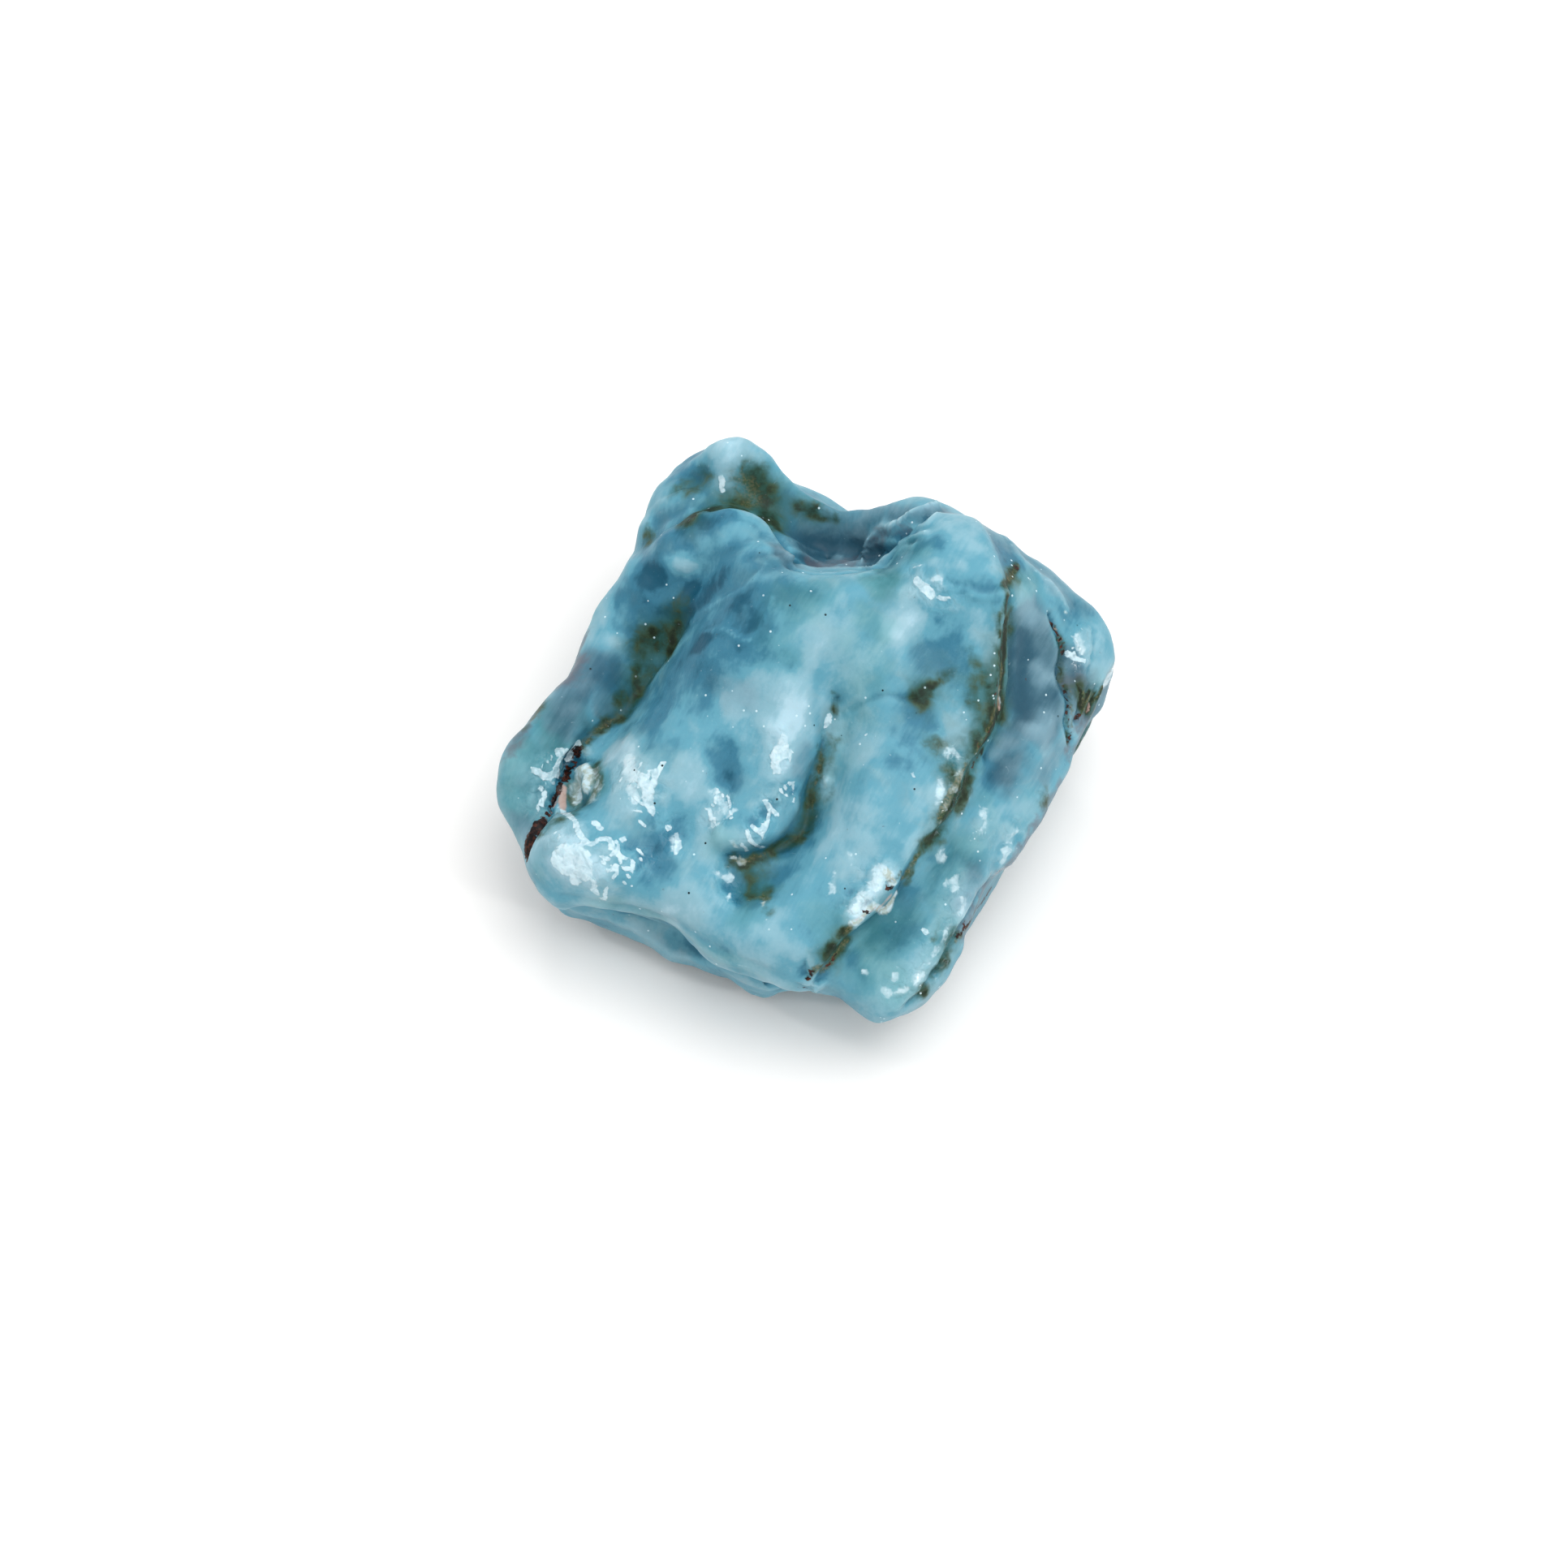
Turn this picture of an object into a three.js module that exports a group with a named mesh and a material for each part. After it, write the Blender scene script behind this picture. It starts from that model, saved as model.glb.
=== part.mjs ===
// Raw larimar: a thumb-sized lump of blue pectolite, broken out of its vein as one squarish block.
// Parallel folded bands run over its top from the back right to the front left, with grooves between
// them, and its sides are broken into ledges, clefts and flat breaks.
// Millimetres, +Z up, +X to the right. The stone rests on a flat break on its underside, at z = 0.
import * as THREE from "three";

// Driving dimensions
const HALF_WIDTH = 17; // along X
const HALF_DEPTH = 16.5; // along Y
const HALF_HEIGHT = 9; // along Z
const WAIST = 7.8; // height at which the block is widest
const BASE_INSET = 5.8; // how far the sides draw in from the waist to the base
const TOP_INSET = 0.8; // and over the TOP_RISE above the waist
const TOP_RISE = 10;
const EDGE_ROUNDING = 1.8; // where the top meets the sides
const BASE_ROUNDING = 2.6; // where the sides meet the underside
const UNDERSIDE = -0.9; // the underside would reach this far down, and the flat break cuts it at z = 0
const GROUND = 8.4; // height of the top between its bands
const CREST_BLEND = 1.5; // over which neighbouring crests run together
const FEATURE_BLEND = 1.2; // over which clefts and ledges run into the block
const BREAK_ROUNDING = 0.5; // along the edges of the flat breaks

// Mesh of the solid
const CELL = 0.84; // side of the grid cells that the surface is netted from
const MARGIN = 2.5; // of the grid around the stone
const EVENING_PASSES = 12;
const EVENING_SHARE = 0.5; // of the way to the middle of its neighbours that a point moves in one pass
const SETTLING_STEPS = 3;
const SETTLING_PROBE = 0.05; // distance over which the field's slope is measured
const LEAST_STEEPNESS = 0.5;
const LONGEST_MOVE = 1.0; // of a point in one settling step
const TABLE_STEP = 0.25; // spacing at which the relief of the top is worked out

// Outline seen from above at the waist, anticlockwise from the right corner
const OUTLINE = [
  [17.0, 3.2], [16.2, 6.0], [12.8, 8.8], [9.6, 10.8], [6.6, 12.1], [4.0, 12.1], [1.6, 13.6],
  [-0.8, 14.5], [-2.6, 16.1], [-4.6, 16.7], [-7.4, 15.0], [-9.2, 11.4], [-11.2, 7.4], [-13.2, 3.4],
  [-15.6, 0.6], [-17.2, -2.4], [-15.8, -6.0], [-15.4, -8.2], [-13.6, -10.2], [-9.6, -11.1],
  [-7.2, -11.7], [-5.4, -13.4], [-2.2, -15.0], [1.0, -15.2], [4.4, -16.9], [6.6, -15.6],
  [9.2, -10.8], [13.0, -3.8],
];

// Crests of the bands and lobes on top: each is a line of [x, y, z] points, rounded across with a radius
const CRESTS = {
  leftFlank: {
    radius: 3.4,
    line: [[-7.8, 12.2, 12.0], [-9.6, 8.6, 11.0], [-11.2, 4.8, 10.3], [-13.4, 0.8, 9.8], [-15.0, -2.4, 9.4]],
  },
  leftEnd: { radius: 3.6, line: [[-14.6, -1.6, 9.6], [-15.0, -4.4, 8.8]] },
  mainRidge: {
    radius: 3.4,
    line: [[-1.4, 3.8, 16.6], [-3.0, 1.4, 15.4], [-5.2, -1.6, 13.2], [-8.2, -4.6, 11.6], [-11.4, -7.0, 10.7]],
  },
  bulge: { radius: 3.0, line: [[-0.6, -1.0, 14.4], [-1.6, -4.0, 12.7], [-2.8, -6.8, 11.8]] },
  middleBand: {
    radius: 4.4,
    line: [[2.6, 3.6, 16.8], [4.0, 0.4, 15.0], [4.0, -4.0, 13.0], [2.2, -9.0, 11.4], [-0.8, -13.0, 10.0]],
  },
  stepBand: {
    radius: 5.0,
    line: [[8.4, 4.2, 17.0], [8.8, 0.6, 14.6], [7.2, -4.0, 12.8], [4.8, -9.0, 11.6], [2.0, -12.8, 10.0]],
  },
  rightBand: {
    radius: 3.8,
    line: [[12.2, 5.6, 14.2], [13.2, 1.0, 12.2], [11.4, -4.4, 11.2], [8.4, -9.8, 10.4], [5.4, -14.0, 9.4]],
  },
  frontCorner: {
    radius: 3.4,
    line: [[-13.2, -8.2, 9.9], [-9.2, -9.0, 10.2], [-6.0, -10.4, 10.2], [-3.6, -12.8, 9.8]],
  },
  rightLobe: { radius: 2.8, line: [[6.2, 10.4, 15.0], [7.6, 7.2, 17.2], [10.0, 5.2, 17.0]] },
  backEdge: { radius: 2.6, line: [[9.8, 8.0, 15.2], [12.8, 6.4, 13.8], [15.0, 4.6, 13.0]] },
  rightKnob: { radius: 2.0, line: [[14.6, 4.2, 12.6], [15.2, 2.2, 11.8]] },
  hollowRim: { radius: 2.4, line: [[-2.0, 13.0, 13.4], [1.4, 11.8, 12.6], [4.4, 10.8, 13.4]] },
  headKnob: { radius: 2.8, line: [[-6.2, 13.4, 13.2], [-4.8, 14.2, 14.6], [-3.2, 13.8, 14.2]] },
  headBoss: { radius: 2.4, line: [[-6.6, 8.6, 13.6], [-4.4, 9.0, 15.0], [-2.4, 7.8, 15.2]] },
};

// Steps down from the left of a line to its right, looking along it: how far, and over what width
const STEPS = {
  layerStep: {
    drop: 2.0,
    width: 1.2,
    line: [
      [-3.0, -20.0], [-0.6, -16.4], [1.7, -13.8], [4.3, -11.2], [7.4, -7.4],
      [9.4, -3.6], [10.6, 0.0], [11.0, 2.4], [10.8, 5.0], [9.6, 9.0],
    ],
  },
};

// Grooves and hollows in the top: how deep they cut, and their half-width
const GROOVES = {
  leftGroove: {
    depth: 1.0,
    width: 1.6,
    line: [[-5.2, 5.2], [-7.2, 3.6], [-9.2, 1.4], [-11.2, -1.2], [-13.2, -4.0], [-15.4, -6.8]],
  },
  middleGroove: {
    depth: 1.2,
    width: 1.3,
    line: [[1.6, -1.8], [1.0, -4.4], [-0.4, -7.2], [-2.0, -9.0], [-3.6, -9.4]],
  },
  hollow: { depth: 3.2, width: 2.1, line: [[0.8, 8.4], [3.2, 8.0]] },
  headSaddle: { depth: 0.9, width: 1.4, line: [[-7.8, 10.8], [-5.2, 11.8], [-3.0, 11.6], [-1.4, 10.2]] },
  eyePit: { depth: 0.9, width: 1.2, line: [[-12.0, -4.9], [-12.4, -4.5]] },
};

// Clefts in the sides, as [x, y, z] lines with a radius, and the ledges that stand out below them
const CLEFTS = {
  frontUndercut: {
    radius: 0.9,
    line: [[-13.5, -11.0, 5.0], [-9.6, -12.0, 4.8], [-6.2, -13.2, 4.6], [-3.4, -15.4, 4.6], [-0.4, -16.4, 4.6]],
  },
  rightCleft: { radius: 0.9, line: [[15.8, -0.8, 6.4], [13.0, -5.6, 6.0], [10.6, -10.0, 6.2]] },
  backCleft: { radius: 1.0, line: [[13.0, 9.2, 7.2], [9.0, 11.8, 6.4], [4.6, 13.2, 6.8]] },
  leftCleft: {
    radius: 1.0,
    line: [[-16.4, 1.2, 5.8], [-14.0, 4.4, 6.4], [-12.2, 8.2, 6.6], [-10.0, 12.4, 7.4]],
  },
};
const LEDGES = {
  frontLedge: {
    radius: 1.7,
    line: [[-12.4, -7.4, 2.8], [-9.2, -8.6, 2.7], [-5.8, -10.1, 2.6], [-2.6, -11.9, 2.6]],
  },
  rightLedge: {
    radius: 1.8,
    line: [[13.0, 1.6, 4.0], [10.6, -2.8, 3.4], [7.2, -9.4, 3.2], [4.6, -13.0, 3.2]],
  },
  backLedge: { radius: 2.0, line: [[11.4, 5.4, 3.8], [7.8, 8.2, 3.2], [3.6, 9.8, 3.6]] },
  headFoot: { radius: 2.6, line: [[-1.6, 11.6, 4.2], [-4.8, 12.4, 3.6]] },
  leftLedge: { radius: 1.9, line: [[-13.4, -1.4, 3.4], [-11.2, 2.6, 3.6], [-9.0, 6.6, 3.4]] },
};

// Flat breaks low on the sides: the way each one faces, and a point on it
const BREAKS = {
  rightBreak: { facing: [0.8, -0.42, -0.43], on: [12.4, -3.8, 3.6] },
  frontRightBreak: { facing: [0.3, -0.8, -0.52], on: [5.2, -14.2, 3.4] },
  backBreak: { facing: [0.45, 0.7, -0.55], on: [9.6, 8.0, 3.4] },
  headBreak: { facing: [-0.2, 0.85, -0.48], on: [-4.2, 13.4, 4.0] },
  leftBreak: { facing: [-0.85, 0.38, -0.36], on: [-11.8, 4.8, 3.4] },
  cornerBreak: { facing: [-0.78, -0.32, -0.54], on: [-13.8, -5.6, 3.6] },
};

const spline = (points, closed = false) =>
  new THREE.CatmullRomCurve3(points.map(([x, y, z = 0]) => new THREE.Vector3(x, y, z)), closed);
const sampled = (points, count, closed = false) => spline(points, closed).getSpacedPoints(count);

// Each feature with its line as a row of points
const traced = (features) =>
  Object.values(features).map((feature) => ({ ...feature, path: sampled(feature.line, 16) }));

// The same, with a ball that holds all the space the feature can change
const bounded = (features) =>
  traced(features).map((feature) => {
    const ball = new THREE.Sphere().setFromPoints(feature.path);
    ball.radius += feature.radius + 2 * FEATURE_BLEND;
    return { ...feature, ball };
  });

const outline = sampled(OUTLINE, 120, true);
const [crests, steps, grooves] = [CRESTS, STEPS, GROOVES].map(traced);
const [clefts, ledges] = [CLEFTS, LEDGES].map(bounded);
const breaks = Object.values(BREAKS).map(({ facing, on }) =>
  new THREE.Plane().setFromNormalAndCoplanarPoint(
    new THREE.Vector3(...facing).normalize(),
    new THREE.Vector3(...on),
  ));

// Nearest place on a path, seen from above when z is left out: how far it is, the path's height there,
// and the side on which the point lies, 1 to the left of the path and -1 to its right
function nearest(path, x, y, z) {
  const flat = z === undefined;
  let least = Infinity;
  let height = 0;
  let side = 1;
  for (let i = 1; i < path.length; i++) {
    const a = path[i - 1];
    const b = path[i];
    const [ex, ey, ez] = [b.x - a.x, b.y - a.y, b.z - a.z];
    const [dx, dy, dz] = [x - a.x, y - a.y, flat ? 0 : z - a.z];
    const length = ex * ex + ey * ey + (flat ? 0 : ez * ez);
    const along = Math.min(1, Math.max(0, (dx * ex + dy * ey + dz * ez) / length));
    const [px, py, pz] = [dx - along * ex, dy - along * ey, flat ? 0 : dz - along * ez];
    const square = px * px + py * py + pz * pz;
    if (square < least) {
      least = square;
      height = a.z + along * ez;
      side = Math.sign(ex * dy - ey * dx);
    }
  }
  return { distance: Math.sqrt(least), height, side };
}

// The larger of two values, rounded over where they are alike
const smoothMax = (a, b, blend) => {
  const share = Math.max(blend - Math.abs(a - b), 0) / blend;
  return Math.max(a, b) + (share * share * blend) / 4;
};

// Distance to the outline seen from above, negative inside it
function outside(x, y) {
  let inside = false;
  for (let i = 1; i < outline.length; i++) {
    const a = outline[i - 1];
    const b = outline[i];
    if (a.y > y !== b.y > y && x < a.x + ((y - a.y) / (b.y - a.y)) * (b.x - a.x)) inside = !inside;
  }
  const { distance } = nearest(outline, x, y);
  return inside ? -distance : distance;
}

// Height of the top surface
function top(x, y) {
  let height = GROUND;
  for (const crest of crests) {
    const near = nearest(crest.path, x, y);
    height = smoothMax(height, near.height - near.distance ** 2 / (2 * crest.radius), CREST_BLEND);
  }
  for (const step of steps) {
    const { distance, side } = nearest(step.path, x, y);
    height -= step.drop * THREE.MathUtils.smoothstep(-side * distance, -step.width / 2, step.width / 2);
  }
  for (const groove of grooves) {
    const { distance } = nearest(groove.path, x, y);
    height -= groove.depth * Math.exp(-((distance / groove.width) ** 2));
  }
  return height;
}

// A function of x and y worked out once on a grid, then read between the grid's points
function tabulated(of) {
  const reach = Math.max(HALF_WIDTH, HALF_DEPTH) + MARGIN;
  const side = Math.round((2 * reach) / TABLE_STEP) + 2;
  const values = new Float64Array(side * side);
  for (let row = 0; row < side; row++) {
    for (let column = 0; column < side; column++) {
      values[row * side + column] = of(column * TABLE_STEP - reach, row * TABLE_STEP - reach);
    }
  }
  const within = (place) => Math.min(side - 1.001, Math.max(0, (place + reach) / TABLE_STEP));
  return (x, y) => {
    const [u, v] = [within(x), within(y)];
    const [column, row] = [Math.floor(u), Math.floor(v)];
    const [s, t, at] = [u - column, v - row, row * side + column];
    const near = values[at] * (1 - s) + values[at + 1] * s;
    const far = values[at + side] * (1 - s) + values[at + side + 1] * s;
    return near * (1 - t) + far * t;
  };
}

const outsideAt = tabulated(outside);
const topAt = tabulated(top);

// Slow swell over the whole stone
const swell = (x, y, z) =>
  0.14 * Math.sin(0.6 * x + 0.4 * z + 1.0) * Math.sin(0.5 * y - 0.6 * z + 2.0) +
  0.1 * Math.sin(0.7 * z + 0.8 * y - 0.5 * x) * Math.cos(0.7 * x + 0.4);

// Negative inside the stone, positive outside it, and about as large as the distance to its surface
function field(x, y, z) {
  const rise = z - WAIST;
  const inset = rise < 0 ? BASE_INSET * (rise / WAIST) ** 2 : TOP_INSET * (rise / TOP_RISE) ** 2;
  let value = outsideAt(x, y) + inset;
  value = smoothMax(value, (z - topAt(x, y)) * 0.85, EDGE_ROUNDING);
  value = smoothMax(value, UNDERSIDE - z, BASE_ROUNDING);
  const here = new THREE.Vector3(x, y, z);
  for (const plane of breaks) value = smoothMax(value, plane.distanceToPoint(here), BREAK_ROUNDING);
  for (const ledge of ledges) {
    if (!ledge.ball.containsPoint(here)) continue;
    value = -smoothMax(-value, ledge.radius - nearest(ledge.path, x, y, z).distance, FEATURE_BLEND);
  }
  for (const cleft of clefts) {
    if (!cleft.ball.containsPoint(here)) continue;
    value = smoothMax(value, cleft.radius - nearest(cleft.path, x, y, z).distance, FEATURE_BLEND);
  }
  return value + swell(x, y, z);
}

// Moves a point onto the surface along the field's slope, and gives the way the surface faces there
function settle(point) {
  const slope = new THREE.Vector3();
  for (let pass = 0; pass < SETTLING_STEPS; pass++) {
    const here = field(point.x, point.y, point.z);
    slope.set(
      field(point.x + SETTLING_PROBE, point.y, point.z) - here,
      field(point.x, point.y + SETTLING_PROBE, point.z) - here,
      field(point.x, point.y, point.z + SETTLING_PROBE) - here,
    ).divideScalar(SETTLING_PROBE);
    const steepness = Math.max(slope.length(), LEAST_STEEPNESS);
    const move = Math.min(LONGEST_MOVE, Math.max(-LONGEST_MOVE, here / steepness));
    point.addScaledVector(slope, -move / steepness);
  }
  return slope.normalize();
}

// Where the corners of a grid face are in and out by turns, the net would touch itself,
// so all four are taken as in
function fillTurns(within, strides) {
  const pairs = strides.map((stride, axis) => [stride, strides[(axis + 1) % 3]]);
  let filled = true;
  while (filled) {
    filled = false;
    for (let n = 0; n < within.length; n++) {
      for (const [across, along] of pairs) {
        const [a, b, c, d] = [n, n + across, n + across + along, n + along];
        if (within[a] !== within[c] || within[b] !== within[d] || within[a] === within[b]) continue;
        for (const corner of [a, b, c, d]) within[corner] = 1;
        filled = true;
      }
    }
  }
}

// A net around the stone: a point in every grid cell that the surface passes through,
// and a four-sided face around every grid edge that it crosses
function surfaceNet() {
  const [width, depth, height] = [HALF_WIDTH, HALF_DEPTH, HALF_HEIGHT].map((half) =>
    Math.ceil((2 * (half + MARGIN)) / CELL));
  const corner = (i, j, k) =>
    new THREE.Vector3((i - width / 2) * CELL, (j - depth / 2) * CELL, k * CELL - MARGIN / 2);
  const strides = [1, width, width * depth];
  const within = new Uint8Array(width * depth * height);
  for (let k = 0, n = 0; k < height; k++) {
    for (let j = 0; j < depth; j++) {
      for (let i = 0; i < width; i++, n++) within[n] = field(...corner(i, j, k)) < 0 ? 1 : 0;
    }
  }
  fillTurns(within, strides);

  const points = [];
  const pointOfCell = new Map();
  const pointIn = (cell) => {
    if (!pointOfCell.has(cell)) {
      const [i, j, k] = [cell % width, Math.floor(cell / width) % depth, Math.floor(cell / (width * depth))];
      pointOfCell.set(cell, points.push(corner(i + 0.5, j + 0.5, k + 0.5)) - 1);
    }
    return pointOfCell.get(cell);
  };

  const faces = [];
  for (let n = 0; n < within.length; n++) {
    strides.forEach((stride, axis) => {
      if (n + stride >= within.length || within[n] === within[n + stride]) return;
      const across = strides[(axis + 1) % 3];
      const along = strides[(axis + 2) % 3];
      const face = [n, n - across, n - across - along, n - along].map(pointIn);
      faces.push(within[n] ? face : face.reverse());
    });
  }
  return { points, faces };
}

// Moves each point along the surface, towards the middle of its neighbours
function evenOut(points, faces) {
  const neighbours = points.map(() => new Set());
  for (const face of faces) {
    face.forEach((a, i) => {
      const b = face[(i + 1) % face.length];
      neighbours[a].add(b);
      neighbours[b].add(a);
    });
  }
  let facings = points.map(settle);
  for (let pass = 0; pass < EVENING_PASSES; pass++) {
    const moves = neighbours.map((around, i) => {
      const move = new THREE.Vector3();
      for (const n of around) move.add(points[n]);
      return move.divideScalar(around.size).sub(points[i]).projectOnPlane(facings[i]);
    });
    points.forEach((point, i) => point.addScaledVector(moves[i], EVENING_SHARE));
    facings = points.map(settle);
  }
}

// The stone: the net settled onto the surface, cut flat at z = 0, each face split along its shorter diagonal,
// and the whole put centrally over the origin
function stoneGeometry() {
  const { points, faces } = surfaceNet();
  evenOut(points, faces);
  for (const point of points) point.z = Math.max(0, point.z);
  const triangles = faces.flatMap(([a, b, c, d]) =>
    points[a].distanceTo(points[c]) < points[b].distanceTo(points[d])
      ? [a, b, c, a, c, d]
      : [a, b, d, b, c, d]);
  const geometry = new THREE.BufferGeometry().setFromPoints(points).setIndex(triangles);
  geometry.computeVertexNormals();
  geometry.computeBoundingBox();
  const middle = geometry.boundingBox.getCenter(new THREE.Vector3());
  geometry.translate(-middle.x, -middle.y, 0);
  return geometry;
}

const pectolite = new THREE.MeshStandardMaterial({ color: 0x6fb0c8, roughness: 0.18, metalness: 0 });
const stone = new THREE.Mesh(stoneGeometry(), pectolite);
stone.name = "larimar_stone";

const rawLarimar = new THREE.Group();
rawLarimar.add(stone);

export default rawLarimar;
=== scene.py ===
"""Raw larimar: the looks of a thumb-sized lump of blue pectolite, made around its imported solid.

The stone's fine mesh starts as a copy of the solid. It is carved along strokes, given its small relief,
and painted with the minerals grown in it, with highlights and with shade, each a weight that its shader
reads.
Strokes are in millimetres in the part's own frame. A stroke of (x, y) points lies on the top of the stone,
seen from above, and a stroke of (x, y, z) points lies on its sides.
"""

import logging
import math
from dataclasses import dataclass
from enum import Enum

import bpy
import numpy as np
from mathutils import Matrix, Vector, noise
from mathutils.bvhtree import BVHTree


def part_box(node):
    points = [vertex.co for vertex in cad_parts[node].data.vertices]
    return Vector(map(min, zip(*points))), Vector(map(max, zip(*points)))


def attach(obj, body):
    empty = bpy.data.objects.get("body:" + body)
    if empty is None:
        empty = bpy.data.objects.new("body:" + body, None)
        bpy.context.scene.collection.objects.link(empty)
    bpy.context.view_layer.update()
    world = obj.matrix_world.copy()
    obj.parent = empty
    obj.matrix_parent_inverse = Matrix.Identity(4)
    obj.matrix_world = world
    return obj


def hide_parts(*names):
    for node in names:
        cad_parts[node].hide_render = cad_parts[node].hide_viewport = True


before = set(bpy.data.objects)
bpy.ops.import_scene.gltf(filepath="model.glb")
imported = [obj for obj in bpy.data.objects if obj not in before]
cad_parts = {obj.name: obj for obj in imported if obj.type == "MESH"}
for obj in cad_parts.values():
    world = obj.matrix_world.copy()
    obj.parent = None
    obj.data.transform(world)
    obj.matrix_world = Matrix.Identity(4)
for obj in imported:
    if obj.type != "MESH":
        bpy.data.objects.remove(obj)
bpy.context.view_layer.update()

LOG = logging.getLogger("larimar")
MM = 0.001
NODE = "larimar_stone"

Knot = tuple[float, ...]  # (x, y) on the top, or (x, y, z) on a side, mm
Line = tuple[Knot, ...]


# --- Strokes -----------------------------------------------------------------------------------------------


class Cut(Enum):
    """How a carving stroke changes the surface across its line."""

    MOUND = "mound"  # rounded: furthest on the line, fading out over its reach
    EDGE = "edge"  # sharp on the line, as a rim or a crease
    STEP = "step"  # up on the left of the line and down on its right, looking along it


@dataclass(frozen=True)
class Carve:
    """One carving stroke: how far it reaches to each side, how far it lifts, and its line."""

    cut: Cut
    reach: float
    lift: float
    line: Line
    width: float = 0.35  # over which a step falls


@dataclass(frozen=True)
class Nudge:
    """One push of a grab brush: how far it reaches, how it moves what it grabs, and its line."""

    reach: float
    move: tuple[float, float, float]
    line: Line


@dataclass(frozen=True)
class Stain:
    """One painted stroke: how far it reaches to each side, how strong it is, and its line."""

    reach: float
    strength: float
    line: Line
    wobble: float = 1.0  # how far its edge wanders


def mound(reach: float, lift: float, *line: Knot) -> Carve:
    """A rounded rise, or a hollow where lift is negative."""
    return Carve(Cut.MOUND, reach, lift, line)


def edge(reach: float, lift: float, *line: Knot) -> Carve:
    """A sharp rim, or a crease where lift is negative."""
    return Carve(Cut.EDGE, reach, lift, line)


def step(reach: float, lift: float, *line: Knot) -> Carve:
    """A step down from the left of the line to its right."""
    return Carve(Cut.STEP, reach, lift, line)


def stain(reach: float, strength: float, *line: Knot) -> Stain:
    """A painted stroke whose edge wanders."""
    return Stain(reach, strength, line)


def fine(reach: float, strength: float, *line: Knot) -> Stain:
    """A painted stroke that keeps close to its line."""
    return Stain(reach, strength, line, wobble=0.25)


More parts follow.
